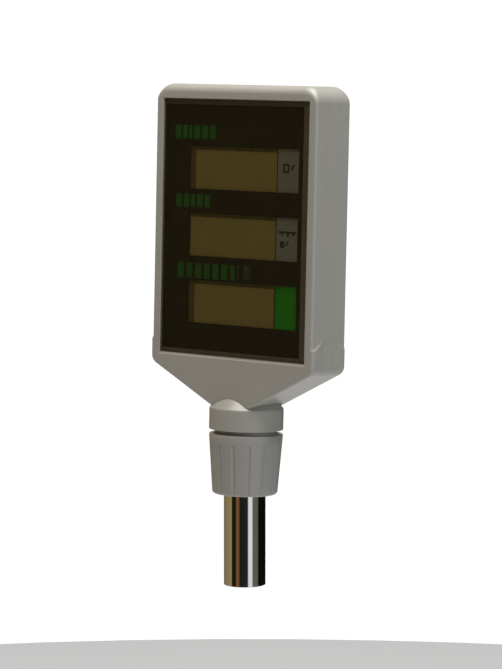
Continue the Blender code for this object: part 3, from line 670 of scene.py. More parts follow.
# ---------------------------------------------------------------- housing
@dataclass(frozen=True)
class HousingForm:
    """Outer form shared by the two shells and the band between them."""

    half_width: float = 0.0615
    front: float = -0.0165
    back: float = 0.0155
    band_front: float = -0.00575
    band_back: float = 0.00475
    corner_height: float = 0.07825
    top: float = 0.24565
    underside_slope: float = 0.5
    underside_end: float = 0.0542
    top_corner: float = 0.010
    low_corner: float = 0.006
    side_fillet: float = 0.0018
    top_fillet: float = 0.0053
    front_flare: float = 0.0009
    rear_flare: float = 0.0005
    ledge_height: float = 0.0154
    ledge_arch: float = 0.0054
    ledge_arch_power: float = 1.2
    ledge_slope: float = 0.0018
    wall: float = 0.0025
    gap: float = 0.00006
    seam_bevel: float = 0.00005
    smallest_corner: float = 0.0005
    corner_steps: int = 9
    ledge_steps: int = 4
    top_steps: int = 12
    fillet_steps: int = 8

    def underside(self, x: float) -> float:
        """Height of the sloping underside at x."""
        return self.corner_height + (x - self.half_width) * self.underside_slope

    def half_outline(
        self, inset: float = 0.0, top_inset: float = 0.0, flare: float = 0.0, arch: float = 0.0
    ) -> Outline:
        """Right half of the housing seen from the front.

        Args:
            inset: How far the sides and the underside lie inside the full outline.
            top_inset: The same for the top.
            flare: How far the lower sides stand out.
            arch: How much the ledge above them is raised.

        Returns:
            Points from the neck up to the top.
        """
        run = math.hypot(1, self.underside_slope)
        side = self.half_width - inset
        end = self.half_width + (
            self.underside_end - self.corner_height - inset * run
        ) / self.underside_slope
        radius = max(self.low_corner - inset, self.smallest_corner)
        center_x = side + flare - radius
        center = (center_x, self.underside(center_x) + (inset + radius) * run)
        slope_angle = math.degrees(math.atan(self.underside_slope))
        ledge = self.corner_height + self.ledge_height + arch
        ramp = []
        for i in range(self.ledge_steps + 1):
            share = i / self.ledge_steps
            ease = share * share * (3 - 2 * share)
            ramp.append((side + flare * (1 - ease), ledge - self.ledge_slope * (1 - share)))
        top_center = (self.half_width - self.top_corner, self.top - self.top_corner)
        top_radii = (self.top_corner - inset, self.top_corner - top_inset)
        return [
            (end, self.underside_end),
            *arc(center, (radius, radius), slope_angle - 90, 0, self.corner_steps),
            *ramp,
            *arc(top_center, top_radii, 0, 90, self.top_steps),
        ]

    def outline(self, **insets: float) -> Outline:
        """The whole outline, from half_outline's values."""
        half = self.half_outline(**insets)
        return half + [(-x, h) for x, h in reversed(half)]

    @staticmethod
    def fillet_inset(radius: float, distance: float) -> float:
        """How far a fillet lies inside its sharp edge.

        Args:
            radius: The fillet's radius.
            distance: Distance behind the face.

        Returns:
            The inset, 0 beyond the fillet.
        """
        if distance >= radius:
            return 0.0
        return radius - math.sqrt(radius**2 - (radius - distance) ** 2)

    def shell_sections(self, face: float, edge: float) -> list[tuple[float, Outline]]:
        """Outlines of a shell from its face to its parting edge.

        Args:
            face: Depth of the outer face.
            edge: Depth of the parting edge.

        Returns:
            Each (depth, outline).
        """
        depth = abs(edge - face)
        toward = math.copysign(1, edge - face)
        flare = self.front_flare if toward > 0 else self.rear_flare
        turns = [math.radians(90 * i / self.fillet_steps) for i in range(self.fillet_steps + 1)]
        distances = {round(self.side_fillet * (1 - math.cos(a)), 7) for a in turns}
        distances |= {round(self.top_fillet * (1 - math.cos(a)), 7) for a in turns}
        rest = depth - self.top_fillet
        distances |= {self.top_fillet + rest * share for share in (0.25, 0.5, 0.75)}
        distances |= {depth - self.seam_bevel, depth}
        sections = []
        for distance in sorted(distances):
            share = min(max(1 - (distance - self.side_fillet) / (depth - self.side_fillet), 0), 1)
            seam = max(0.0, distance - depth + self.seam_bevel)
            sections.append(
                (
                    face + toward * distance,
                    self.outline(
                        inset=self.fillet_inset(self.side_fillet, distance) + seam,
                        top_inset=self.fillet_inset(self.top_fillet, distance) + seam,
                        flare=flare * (1 - (1 - share) ** 2),
                        arch=self.ledge_arch * (1 - share) ** self.ledge_arch_power,
                    ),
                )
            )
        return sections


@dataclass
class Neck:
    """Round neck: cone, ring and threaded core, standing out of the band."""

    radius: float = 0.0222
    ring_bottom: float = 0.0403
    ring_top: float = 0.0536
    cone_top: float = 0.06098
    cone_top_radius: float = 0.0152
    core_radius: float = 0.0186
    core_bottom: float = 0.0193
    core_bore: float = 0.0155
    cavity_radius: float = 0.019
    flange_seat: float = 0.0435
    edge_round: float = 0.0007
    top_wall: float = 0.002
    lip: float = 0.0003
    steps: int = 144

    def outer(self, grow: float = 0.0) -> Outline:
        """Outside of the neck from the cone's top down to the core.

        Args:
            grow: How far outside the real surface the outline lies.

        Returns:
            The outline's points.
        """
        rise, run = self.cone_top - self.ring_top, self.radius - self.cone_top_radius
        slope = math.atan2(rise, run)
        soft = self.edge_round
        ring_radius, shoulder = self.radius + grow, self.ring_top + grow * 0.4
        return [
            (self.cone_top_radius + grow, self.cone_top + grow),
            (ring_radius - soft * math.cos(slope), shoulder + soft * math.sin(slope)),
            (ring_radius - 0.22 * soft, shoulder + 0.12 * soft),
            (ring_radius, shoulder - soft),
            (ring_radius, self.ring_bottom + 1.7 * soft),
            (ring_radius - 0.15 * soft, self.ring_bottom + soft),
            (self.core_radius + 0.2 * soft + grow, self.ring_bottom),
        ]

    def clearance(self, name: str, gap: float) -> Object:
        """Tool that leaves a gap round the neck in a shell.

        Args:
            name: The tool's name.
            gap: Width of the gap.

        Returns:
            The tool.
        """
        outer = self.outer(gap)
        outline = [*outer, (AXIS_HOLE, outer[-1][1]), (AXIS_HOLE, outer[0][1])]
        return new_piece(name, turned(outline, self.steps))

    def solid(self) -> BMesh:
        """The neck with its hollow.

        Returns:
            One turned ring.
        """
        lip = self.lip
        outline = [
            *self.outer(),
            (self.core_radius, self.ring_bottom - lip),
            (self.core_radius, self.core_bottom + lip),
            (self.core_radius - lip, self.core_bottom),
            (self.core_bore, self.core_bottom),
            (self.core_bore, self.flange_seat),
            (self.cavity_radius, self.flange_seat),
            (self.cavity_radius, self.ring_top - lip),
            (self.cone_top_radius - self.top_wall, self.cone_top),
        ]
        return turned(outline, self.steps)

    def bore(self) -> Object:
        """Open the band where the neck's hollow passes.

        Returns:
            The tool.
        """
        low, high = self.ring_bottom - MM, self.ring_top + MM
        radius = self.cavity_radius
        outline = [(radius, high), (radius, low), (AXIS_HOLE, low), (AXIS_HOLE, high)]
        return new_piece("bore_tool", turned(outline, self.steps))


@dataclass
class Housing:
    """The three mouldings of the head, with the screws' counterbores and caps."""

    form: HousingForm = field(default_factory=HousingForm)
    neck: Neck = field(default_factory=Neck)
    window_half: float = 0.0559
    window_low: float = 0.08435
    window_high: float = 0.23685
    window_front: float = -0.0159
    shelf_front: float = -0.0139
    shelf_back: float = -0.0096
    shelf_width: float = 0.0051
    rim_chamfer: float = 0.0004
    sill_chamfer: float = 0.0013
    counterbore_radius: float = 0.0028
    counterbore_edge: float = 0.00035
    cap_thickness: float = 0.0018
    cap_steps: int = 32
    sharp_degrees: float = 32.0

    def window(self, grow: float = 0.0, grow_low: float | None = None) -> Outline:
        """The window's rectangle.

        Args:
            grow: How far outside it the outline lies.
            grow_low: The same at the sill, if it differs there.

        Returns:
            Its corners.
        """
        down = grow if grow_low is None else grow_low
        half, low, high = self.window_half + grow, self.window_low - down, self.window_high + grow
        return [(-half, low), (half, low), (half, high), (-half, high)]

    def hollow_tool(self, near: float, far: float) -> Object:
        """Tool for the hollow inside the walls.

        Args:
            near: Depth of its front end.
            far: Depth of its back end.

        Returns:
            The tool.
        """
        inside = self.form.outline(inset=self.form.wall, top_inset=self.form.wall)
        return new_piece("hollow_tool", prism([(near, inside), (far, inside)]))

    def rim_tool(self) -> Object:
        """Shape the panel's pocket, whose mouth is rounded over to the face.

        Returns:
            The tool.
        """
        front, rim, sill = self.form.front, self.rim_chamfer, self.sill_chamfer
        depth = (self.window_front - front) * 0.985
        over, edge = CUT_LEAD / 2, 0.05 * MM
        sections = [
            (front - CUT_LEAD, self.window(rim + over, sill + over)),
            (front - 0.02 * MM, self.window(rim + edge, sill + edge)),
        ]
        for turn in (0, 25, 50, 75, 90):
            a = math.radians(turn)
            grown = self.window(rim * math.cos(a), sill * math.cos(a))
            sections.append((front + depth * math.sin(a) + 0.01 * MM, grown))
        sections.append((self.shelf_front, self.window()))
        return new_piece("rim_tool", prism(sections))

    def build_front(self) -> None:
        """Front shell with its rim, shelf and hollow."""
        form = self.form
        edge = form.band_front - form.gap
        shell = new_piece("front_moulding", prism(form.shell_sections(form.front, edge)), HOUSING)
        mouth = self.window(-self.shelf_width)
        ends = self.shelf_front - CUT_LEAD, self.shelf_back + CUT_LEAD
        tools = [
            self.rim_tool(),
            new_piece("shelf_tool", prism([(y, mouth) for y in ends])),
            self.hollow_tool(self.shelf_back, edge + CUT_LEAD),
            self.neck.clearance("neck_tool", form.gap),
        ]
        apply_tools(shell, tools, Cut.TAKE)
        smooth(shell, self.sharp_degrees)
        settle(shell, Body.HEAD, HOUSING, "front_shell")

    def build_rear(self) -> None:
        """Rear shell with its hollow and the counterbores over the screws."""
        form = self.form
        edge = form.band_back + form.gap
        shell = new_piece("rear_moulding", prism(form.shell_sections(form.back, edge)), HOUSING)
        tools = [
            self.hollow_tool(edge - CUT_LEAD, form.back - form.wall),
            self.neck.clearance("neck_tool", form.gap),
        ]
        radius = self.counterbore_radius
        rings = (
            (form.back + CUT_LEAD, radius + self.counterbore_edge + CUT_LEAD),
            (form.back - self.counterbore_edge, radius),
            (form.back - form.wall - CUT_LEAD, radius),
        )
        for i in CAPS:
            bar = self.round_bar(self.cap_place(i), rings)
            tools.append(new_piece(f"counterbore_{i}", bar))
        apply_tools(shell, tools, Cut.TAKE)
        smooth(shell, self.sharp_degrees)
        settle(shell, Body.HEAD, HOUSING, "rear_shell")

    def build_band(self) -> None:
        """Band between the shells, in one piece with the neck."""
        form = self.form
        bevel = form.seam_bevel
        edge, full = form.outline(inset=bevel, top_inset=bevel), form.outline()
        sections = [
            (form.band_front, edge),
            (form.band_front + bevel, full),
            (form.band_back - bevel, full),
            (form.band_back, edge),
        ]
        band = new_piece("band_and_neck", prism(sections), HOUSING)
        hollow = self.hollow_tool(form.band_front - CUT_LEAD, form.band_back + CUT_LEAD)
        apply_tools(band, [hollow], Cut.TAKE)
        apply_tools(band, [self.neck.bore()], Cut.TAKE)
        apply_tools(band, [new_piece("neck_solid", self.neck.solid())], Cut.JOIN)
        band.data.materials.clear()
        band.data.materials.append(MATERIALS[HOUSING.name])
        smooth(band, self.sharp_degrees)
        settle(band, Body.HEAD, HOUSING, "neck_frame")

    def cap_place(self, number: int) -> Pair:
        """Where a screw cap's middle lies.

        Args:
            number: The cap's number, from 1.

        Returns:
            (x, height) in head coordinates.
        """
        low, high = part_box(f"screw_cap_{number}")
        middle = AXIS.matrix().inverted() @ ((low + high) / 2)
        return middle.x, middle.z

    def round_bar(self, place: Pair, rings: tuple[Pair, ...]) -> BMesh:
        """A round piece along the depth.

        Args:
            place: (x, height) of its axis.
            rings: Each (depth, radius).

        Returns:
            The piece's mesh.
        """
        x, h = place
        angles = [math.tau * i / self.cap_steps for i in range(self.cap_steps)]
        return loft(
            [
                [Vector((x + r * math.cos(a), y, h + r * math.sin(a))) for a in angles]
                for y, r in rings
            ]
        )

    def build_caps(self) -> None:
        """Slightly domed caps over the case screws."""
        radius = self.counterbore_radius - self.form.gap
        face = self.form.back - self.form.gap
        rings = (
            (face - self.cap_thickness, radius),
            (face - 0.35 * MM, radius),
            (face - 0.12 * MM, radius - 0.12 * MM),
            (face - 0.02 * MM, radius - 0.5 * MM),
            (face, radius - 1.2 * MM),
        )
        for i in CAPS:
            cap = new_piece(f"cap_{i}", self.round_bar(self.cap_place(i), rings), HOUSING)
            smooth(cap, 40)
            settle(cap, Body.HEAD, HOUSING, f"screw_cap_{i}")

    def build(self) -> None:
        """Build every moulding of the head."""
        self.build_front()
        self.build_rear()
        self.build_band()
        self.build_caps()


# ---------------------------------------------------------------- window and displays
@dataclass
class PrintRow:
    """A printed legend: upright blocks in one line.

    Attributes:
        name: The piece's name.
        left: Left end of the line.
        low: Foot of the line.
        height: Height of the blocks.
        widths: Width of each block, in millimetres.
        space: Gap between blocks, in millimetres.
        look: The ink.
    """

    name: str
    left: float
    low: float
    height: float
    widths: tuple[float, ...]
    space: float
    look: Finish


@dataclass
class Window:
    """Smoked panel, its border and card, and the displays and unit cells in the apertures."""

    left: float = -0.0556
    right: float = 0.0556
    low: float = 0.08465
    high: float = 0.23655
    panel_front: float = -0.0159
    panel_back: float = -0.0147
    panel_edge: float = 0.00025
    mask_front: float = -0.0146
    mask_back: float = -0.0140
    mask_edges: tuple[float, float, float, float] = (-0.0551, 0.0507, 0.0872, 0.2335)
    mask_clearance: float = 0.0001
    film_front: float = -0.01397
    film_back: float = -0.01391
    glass_front: float = -0.0139
    glass_back: float = -0.0113
    glass_edge: float = 0.0001
    card_back: float = -0.0131
    card_edge: float = 0.00005
    aperture_left: float = -0.0355
    aperture_right: float = 0.0477
    aperture_height: float = 0.0254
    row_bottoms: tuple[float, ...] = (0.1034, 0.1434, 0.1834)
    lap: float = 0.0002
    below: float = 0.0035
    card_left: float = 0.0314
    film_right: float = 0.0306
    film_left_gaps: tuple[float, ...] = (0.0048, 0.001, 0.0041)
    film_top_gaps: tuple[float, ...] = (0.0022, 0.0022, 0.0023)
    ink: float = 0.00008
    ink_gap: float = 0.00001
    legends: tuple[PrintRow, ...] = (
        PrintRow(
            "legend_top", -0.0475, 0.2129, 0.0081, (4.6, 3.4, 2.2, 4.8, 4.6, 4.4), 1.5, LEGEND
        ),
        PrintRow("legend_middle", -0.046, 0.1723, 0.0077, (4.4, 4.6, 3.2, 4.6, 4.0), 1.4, LEGEND),
        PrintRow(
            "legend_bottom", -0.0439, 0.13, 0.009, (4.8, 4.6, 4.8, 4.4, 4.6, 4.8, 3.6), 2.2, LEGEND
        ),
        PrintRow("legend_bottom_end", 0.0025, 0.131, 0.0086, (1.5, 4.8), 3.5, DULL_LEGEND),
    )

    def plate(
        self, name: str, corner: Triple, opposite: Triple, look: Finish, node: str = "",
        edge: float = 0.0,
    ) -> None:
        """One flat piece of the window.

        Args:
            name: Its name.
            corner: Its lowest corner.
            opposite: Its highest corner.
            look: Its finish.
            node: The CAD node that it replaces, if any.
            edge: Radius of its edges.
        """
        piece = new_piece(name, slab(corner, opposite, edge), look)
        settle(piece, Body.HEAD, look, *([node] if node else []))

    def build_panel(self) -> None:
        """Smoked panel with softened edges."""
        corner = (self.left, self.panel_front, self.low)
        opposite = (self.right, self.panel_back, self.high)
        panel = new_piece("smoked_panel", slab(corner, opposite, self.panel_edge), SMOKE)
        smooth(panel, 50)
        settle(panel, Body.HEAD, SMOKE, "window_panel")

    def layer(self, edges: tuple[float, float, float, float], past: float = 0.0) -> BMesh:
        """A rectangle as deep as the border and the card.

        Args:
            edges: Left, right, low and high.
            past: How far it runs past their front and back.

        Returns:
            Its mesh.
        """
        left, right, low, high = edges
        return slab((left, self.mask_front - past, low), (right, self.mask_back + past, high), 0)

    def build_border(self) -> None:
        """Foam border and the black card inside it, in one layer."""
        outer = (self.left, self.right, self.low, self.high)
        border = new_piece("foam_border", self.layer(outer), TAPE)
        left, right, low, high = self.mask_edges
        edge = self.mask_clearance
        hole = self.layer((left - edge, right + edge, low - edge, high + edge), MM)
        apply_tools(border, [new_piece("border_hole", hole)], Cut.TAKE)
        settle(border, Body.HEAD, TAPE, "window_tape")
        mask = new_piece("black_card", self.layer(self.mask_edges), MASK)
        across = self.aperture_left, self.aperture_right
        apertures = [
            new_piece("aperture", self.layer((*across, low, low + self.aperture_height), MM))
            for low in self.row_bottoms
        ]
        apply_tools(mask, apertures, Cut.TAKE)
        settle(mask, Body.HEAD, MASK, "display_mask")

    def build_displays(self) -> None:
        """Glass and film of each display, and the unit cell beside it."""
        for row, bottom in enumerate(self.row_bottoms):
            number, top, low = row + 1, bottom + self.aperture_height, bottom - self.below
            self.plate(
                f"display_glass_{number}",
                (self.aperture_left - self.lap, self.glass_front, low),
                (self.card_left - 3 * self.lap, self.glass_back, top + self.lap),
                GLASS,
                f"lcd_glass_{number}",
                self.glass_edge,
            )
            film_left = self.aperture_left + self.film_left_gaps[row]
            self.plate(
                f"polariser_{number}",
                (film_left, self.film_front, bottom - self.below / 2),
                (self.film_right, self.film_back, top - self.film_top_gaps[row]),
                FILM,
            )
            self.plate(
                f"unit_cell_{number}",
                (self.card_left, self.glass_front, low),
                (self.aperture_right + 6 * self.lap, self.card_back, top + self.lap),
                GREEN_CARD if row == 0 else CARD,
                f"unit_card_{number}",
                self.card_edge,
            )

    def build_blocks(
        self,
        name: str,
        blocks: list[tuple[float, float, float, float]],
        front: float,
        look: Finish,
    ) -> None:
        """Lay printed blocks on a surface.

        Args:
            name: The piece's name.
            blocks: Each (left, low, width, height).
            front: Depth of the surface that they are printed on.
            look: The ink.
        """
        bm = bmesh.new()
        for left, low, width, height in blocks:
            made = bmesh.ops.create_cube(bm, size=1)
            depth = front - self.ink / 2 - self.ink_gap
            middle = Vector((left + width / 2, depth, low + height / 2))
            place = Matrix.Translation(middle) @ Matrix.Diagonal((width, self.ink, height, 1))
            bmesh.ops.transform(bm, matrix=place, verts=made["verts"])
        piece = new_piece(name, bm, look)
        settle(piece, Body.HEAD, look)

    def build_legends(self) -> None:
        """Legends above the display rows."""
        for row in self.legends:
            blocks, left = [], row.left
            for width in row.widths:
                blocks.append((left, row.low, width * MM, row.height))
                left += (width + row.space) * MM
            self.build_blocks(row.name, blocks, self.mask_front, row.look)

    def build_marks(self) -> None:
        """Small dark marks in the two upper unit cells."""
        upper = [
            (35.4, 195.0, 1.2, 5.2), (35.4, 199.2, 4.6, 1.0), (38.9, 195.0, 1.1, 5.2),
            (35.4, 195.0, 4.6, 1.0), (41.6, 196.4, 1.2, 2.6), (42.4, 198.4, 1.8, 1.2),
        ]
        middle = [
            (33.0, 159.6, 13.1, 1.3), (35.0, 158.6, 1.2, 1.2), (39.4, 157.8, 1.2, 2.0),
            (43.4, 158.4, 1.2, 1.4), (34.3, 151.2, 3.2, 3.8), (38.6, 152.4, 1.2, 1.6),
            (39.6, 153.8, 1.2, 1.4),
        ]
        for name, blocks in (("unit_mark_top", upper), ("unit_mark_middle", middle)):
            scaled = [tuple(value * MM for value in block) for block in blocks]
            self.build_blocks(name, scaled, self.glass_front, MARK)

    def build(self) -> None:
        """Build the panel and the layers behind it."""
        self.build_panel()
        self.build_border()
        self.build_displays()
        self.build_legends()
        self.build_marks()


# ---------------------------------------------------------------- pole and collar
@dataclass
class Tube:
    """Upper end of the chromed pole."""

    radius: float = 0.0125
    wall: float = 0.0015
    edge: float = 0.0003
    steps: int = 160
    levels: int = 24

    def build(self) -> None:
        """Build the tube to the length of its solid."""
        low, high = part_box("pole_tube")
        inner = self.radius - self.wall
        outside = [
            (self.radius, low.z + self.edge + (high.z - low.z - 2 * self.edge) * i / self.levels)
            for i in range(self.levels + 1)
        ]
        profile = [
            (inner, low.z),
            (self.radius - self.edge, low.z),
            *outside,
            (self.radius - self.edge, high.z),
            (inner, high.z),
        ]
        tube = new_piece("chromed_tube", turned(profile, self.steps), CHROME, leaning=False)
        smooth(tube, 40)
        settle(tube, Body.POLE, CHROME, "pole_tube")


@dataclass
class CollarNut:
    """Fluted clamping nut."""

    bottom: float = 0.002
    top: float = 0.0386
    radius: float = 0.0222
    taper: float = 0.0028
    bottom_round: float = 0.0022
    top_bevel: float = 0.0008
    smooth_band: float = 0.0058
    flutes: int = 14
    first_flute: float = 0.25
    flute_half_width: float = 0.0011
    flute_depth: float = 0.0006
    flute_fade: float = 0.0012
    bore: float = 0.019
    hole: float = 0.0134
    seat_bottom: float = 0.0065
    seat_radius: float = 0.0154
    seat_top: float = 0.0184

    def outside(self, height: float) -> float:
        """Radius of the tapered outside at a height."""
        return self.radius - self.taper * (self.top - height) / (self.top - self.bottom)

    def flute(self, angle: float, radius: float, height: float) -> float:
        """Depth of the fluting.

        Args:
            angle: Direction round the nut.
            radius: Radius there.
            height: Height there.

        Returns:
            How far the surface lies inside the plain outside.
        """
        pitch = math.tau / self.flutes
        off = (angle / pitch) % 1.0 - 0.5
        across = off * pitch * radius / self.flute_half_width
        if abs(across) >= 1:
            return 0.0
        rise = (self.top - self.smooth_band - height) / self.flute_fade
        fade = min(max(rise, 0.0), 1.0)
        return self.flute_depth * (1 - across * across) * math.sqrt(1 - (1 - fade) ** 2)

    def angles(self) -> list[float]:
        """Directions round the nut, closer together across each flute.

        Returns:
            The angles in radians.
        """
        pitch = math.tau / self.flutes
        half = self.flute_half_width / (self.radius * pitch)
        inside = [0.5 + half * 1.02 * (i / 5 - 1) for i in range(11)]
        plain = [0.0, 0.12, 0.24, 0.34]
        shares = plain + inside + [1 - share for share in reversed(plain[1:])]
        return [(i + share) * pitch for i in range(self.flutes) for share in shares]

    def build(self) -> None:
        """Build the nut as rings from its top lip down the outside and back up inside."""
        heights = [self.top - self.top_bevel - 0.25 * MM]
        edge = self.top - self.smooth_band
        heights += [edge + 0.5 * MM, edge]
        heights += [edge - self.flute_fade * share for share in (0.1, 0.25, 0.45, 0.7, 1.0)]
        low = self.bottom + self.bottom_round
        faded = edge - self.flute_fade
        heights += [faded - (faded - low) * i / 6 for i in range(1, 7)]
        profile = [(self.bore, self.top), (self.bore + 1.2 * MM, self.top)]
        profile += [(self.outside(self.top) - 0.35 * MM, self.top - 0.3 * MM)]
        profile += [(self.outside(h), h) for h in heights]
        center = (self.outside(low) - self.bottom_round, low)
        profile += arc(center, (self.bottom_round, self.bottom_round), -12, -90, 7)
        profile += [
            (self.hole + 0.4 * MM, self.bottom),
            (self.hole, self.bottom + 0.4 * MM),
            (self.hole, self.seat_bottom),
            (self.seat_radius, self.seat_bottom),
            (self.bore, self.seat_top),
        ]
        outer_count = len(profile) - 6
        rings = []
        shift = (self.first_flute - 0.5) * math.tau / self.flutes
        for k, (radius, height) in enumerate(profile):
            ring = []
            for angle in self.angles():
                cut = self.flute(angle, radius, height) if 3 <= k <= outer_count else 0.0
                r, turn = radius - cut, angle + shift
                ring.append(Vector((r * math.cos(turn), r * math.sin(turn), height)))
            rings.append(ring)
        nut = new_piece("fluted_collar", loft(rings, closed=True), COLLAR_PLASTIC)
        smooth(nut, 38, weighted=False)
        settle(nut, Body.COLLAR, COLLAR_PLASTIC, "collar_nut")


# ---------------------------------------------------------------- solids that stay
@dataclass
class PlainSolids:
    """CAD solids that keep their own shape and get their finish."""

    looks: dict[str, Finish] = field(
        default_factory=lambda: {
            "window_tape": TAPE,
            "display_mask": MASK,
            "display_carrier": WHITE_PLASTIC,
            "lcd_glass": GLASS,
            "unit_card_1": GREEN_CARD,
            "unit_card": CARD,
            "backlight": LIGHT_GUIDE,
            "zebra_strip": ZEBRA,
            "circuit_board": BOARD,
            "display_driver": CHIP,
            "signal_socket": WHITE_PLASTIC,
            "smoothing_capacitor": CHIP,
            "board_screw": ZINC,
            "case_screw": ZINC,
            "cable_guard": RUBBER,
            "retaining_ring": SPRING,
            "swivel_bush": ACETAL,
            "slip_washer": ACETAL,
            "split_collet": ACETAL,
            "screw_cap": HOUSING,
            "front_shell": HOUSING,
            "rear_shell": HOUSING,
            "neck_frame": HOUSING,
            "window_panel": SMOKE,
            "pole_tube": CHROME,
            "collar_nut": COLLAR_PLASTIC,
        }
    )

    def dress(self) -> None:
        """Give each CAD node the material of the longest name that it starts with."""
        for name, node in sorted(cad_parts.items()):
            fits = [key for key in self.looks if name.startswith(key)]
            look = self.looks[max(fits, key=len)]
            for slot in node.material_slots:
                slot.material = MATERIALS[look.name]
            LOG.info("%s wears %s", name, look.name)


# ---------------------------------------------------------------- studio
@dataclass(frozen=True)
class SoftBox:
    """A square or oblong area light.

    Attributes:
        name: Its name.
        place: Where it hangs.
        aim: What it points at.
        size: Width and height.
        power: Watts.
        color: Linear colour.
    """

    name: str
    place: Triple
    aim: Triple
    size: Pair
    power: float
    color: Triple

    def build(self) -> None:
        """Hang the light."""
        light = bpy.data.lights.new(self.name, "AREA")
        light.shape = "RECTANGLE"
        light.size, light.size_y = self.size
        light.energy = self.power
        light.color = self.color
        lamp = bpy.data.objects.new(self.name, light)
        lamp.location = self.place
        toward = Vector(self.aim) - Vector(self.place)
        lamp.rotation_euler = toward.to_track_quat("-Z", "Y").to_euler()
        lamp.visible_camera = False
        bpy.context.scene.collection.objects.link(lamp)


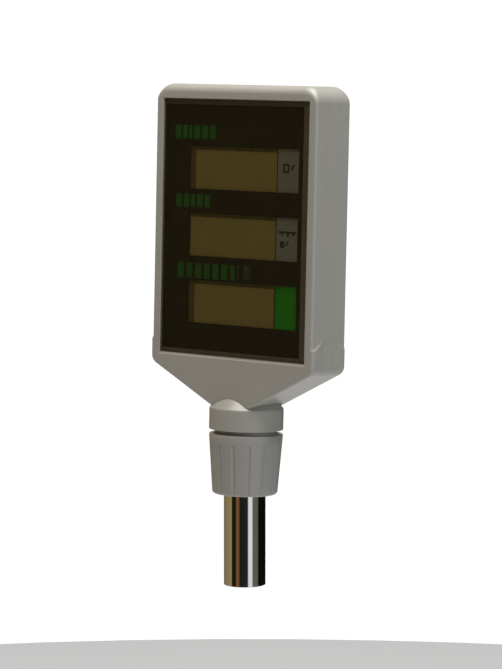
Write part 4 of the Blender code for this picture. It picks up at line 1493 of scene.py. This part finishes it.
@dataclass
class Studio:
    """Floor, surroundings, lights and camera."""

    floor_level: float = -0.3
    floor_radius: float = 1.3
    floor_glow: float = 0.32
    floor_shade: float = 0.5
    backdrop_glow: float = 1.05
    floor_tint: Triple = (0.9, 0.93, 1.0)
    azimuth: float = math.radians(39.72)
    elevation: float = math.radians(6.02)
    distance: float = 1.857
    target: Triple = (0.00492, 0.0, 0.15092)
    lens: float = 168.2
    sensor: float = 36.0
    boxes: tuple[SoftBox, ...] = (
        SoftBox(
            "top_softbox", (0.15, -0.1, 1.3), (0, 0, 0.15), (1.2, 1.0), 24.5, (1.0, 0.97, 0.92)
        ),
        SoftBox("side_fill", (1.3, 0.1, 0.5), (0, 0, 0.15), (0.5, 0.9), 2.0, (0.93, 0.98, 1.0)),
        SoftBox(
            "rear_fill", (-0.96, 1.15, 0.45), (0, 0, 0.24), (0.9, 0.5), 1.2, (1.0, 0.99, 0.97)
        ),
    )
    walls: tuple[tuple[float, Triple], ...] = (
        (-180.0, (0.005, 0.005, 0.005)),
        (-146.0, (0.008, 0.007, 0.005)),
        (-140.0, (0.155, 0.13, 0.076)),
        (-90.0, (0.23, 0.185, 0.093)),
        (-38.0, (0.32, 0.25, 0.108)),
        (-34.0, (0.012, 0.009, 0.005)),
        (-12.0, (0.012, 0.009, 0.005)),
        (-6.0, (0.20, 0.09, 0.036)),
        (6.0, (0.19, 0.085, 0.034)),
        (14.0, (0.012, 0.011, 0.010)),
        (56.0, (0.020, 0.020, 0.018)),
        (62.0, (0.80, 0.83, 0.82)),
        (80.0, (0.80, 0.83, 0.82)),
        (86.0, (0.13, 0.125, 0.09)),
        (116.0, (0.12, 0.115, 0.085)),
        (122.0, (0.004, 0.004, 0.004)),
        (180.0, (0.004, 0.004, 0.004)),
    )

    def build_floor(self) -> None:
        """A round pale floor with a soft glow, so that it stays pale to its edge."""
        bm = bmesh.new()
        bmesh.ops.create_circle(bm, cap_ends=True, segments=96, radius=self.floor_radius)
        bmesh.ops.translate(bm, vec=(0, 0, self.floor_level), verts=bm.verts)
        mesh = bpy.data.meshes.new("pale_floor")
        bm.to_mesh(mesh)
        bm.free()
        floor = bpy.data.objects.new("pale_floor", mesh)
        bpy.context.scene.collection.objects.link(floor)
        sheet = NodeSheet("pale_floor_paint")
        sheet.shader.inputs["Base Color"].default_value = (*[self.floor_shade] * 3, 1)
        sheet.shader.inputs["Roughness"].default_value = 0.9
        sheet.shader.inputs["Emission Color"].default_value = (*self.floor_tint, 1)
        sheet.shader.inputs["Emission Strength"].default_value = self.floor_glow
        mesh.materials.append(sheet.material)

    def build_surroundings(self) -> None:
        """White where the camera looks past the object, and a dim room for everything else."""
        world = bpy.data.worlds.new("studio_room")
        bpy.context.scene.world = world
        world.use_nodes = True
        nodes, link = world.node_tree.nodes, world.node_tree.links.new
        nodes.clear()
        split = nodes.new("ShaderNodeSeparateXYZ")
        link(nodes.new("ShaderNodeTexCoord").outputs["Generated"], split.inputs[0])
        flip = nodes.new("ShaderNodeMath")
        flip.operation = "MULTIPLY"
        flip.inputs[1].default_value = -1
        link(split.outputs["Y"], flip.inputs[0])
        angle = nodes.new("ShaderNodeMath")
        angle.operation = "ARCTAN2"
        link(split.outputs["X"], angle.inputs[0])
        link(flip.outputs[0], angle.inputs[1])
        share = nodes.new("ShaderNodeMapRange")
        share.inputs["From Min"].default_value = -math.pi
        share.inputs["From Max"].default_value = math.pi
        link(angle.outputs[0], share.inputs["Value"])
        ramp = nodes.new("ShaderNodeValToRGB")
        link(share.outputs["Result"], ramp.inputs["Fac"])
        self.set_stops(ramp.color_ramp.elements)
        room = nodes.new("ShaderNodeBackground")
        link(ramp.outputs["Color"], room.inputs["Color"])
        white = nodes.new("ShaderNodeBackground")
        white.inputs["Color"].default_value = (1, 1, 1, 1)
        white.inputs["Strength"].default_value = self.backdrop_glow
        mix = nodes.new("ShaderNodeMixShader")
        link(nodes.new("ShaderNodeLightPath").outputs["Is Camera Ray"], mix.inputs[0])
        link(room.outputs[0], mix.inputs[1])
        link(white.outputs[0], mix.inputs[2])
        link(mix.outputs[0], nodes.new("ShaderNodeOutputWorld").inputs[0])

    def set_stops(self, stops: bpy.types.ColorRampElements) -> None:
        """Give a colour ramp over the full turn one stop for each wall entry.

        Args:
            stops: The ramp's stops.
        """
        while len(stops) > 1:
            stops.remove(stops[-1])
        for i, (degrees, color) in enumerate(self.walls):
            position = (degrees + 180) / 360
            stop = stops[0] if i == 0 else stops.new(position)
            stop.position = position
            stop.color = (*color, 1)

    def build_camera(self) -> None:
        """A long lens from the reader's right, a little above."""
        data = bpy.data.cameras.new("camera")
        data.lens = self.lens
        data.sensor_fit = "VERTICAL"
        data.sensor_height = self.sensor
        camera = bpy.data.objects.new("camera", data)
        direction = Vector(
            (
                math.sin(self.azimuth) * math.cos(self.elevation),
                -math.cos(self.azimuth) * math.cos(self.elevation),
                math.sin(self.elevation),
            )
        )
        camera.location = Vector(self.target) + direction * self.distance
        camera.rotation_euler = direction.to_track_quat("Z", "Y").to_euler()
        bpy.context.scene.collection.objects.link(camera)
        bpy.context.scene.camera = camera

    def build(self) -> None:
        """Set the floor, surroundings, lights, camera and plain colour handling."""
        self.build_camera()
        self.build_floor()
        self.build_surroundings()
        for box in self.boxes:
            box.build()
        view = bpy.context.scene.view_settings
        view.view_transform = "Standard"
        view.look = "None"


def main() -> None:
    """Build every sub-assembly in order."""
    Studio().build()
    PlainSolids().dress()
    for part in (Housing(), Window(), Tube(), CollarNut()):
        part.build()
        LOG.info("%s is built", type(part).__name__)


if __name__ == "__main__":
    main()
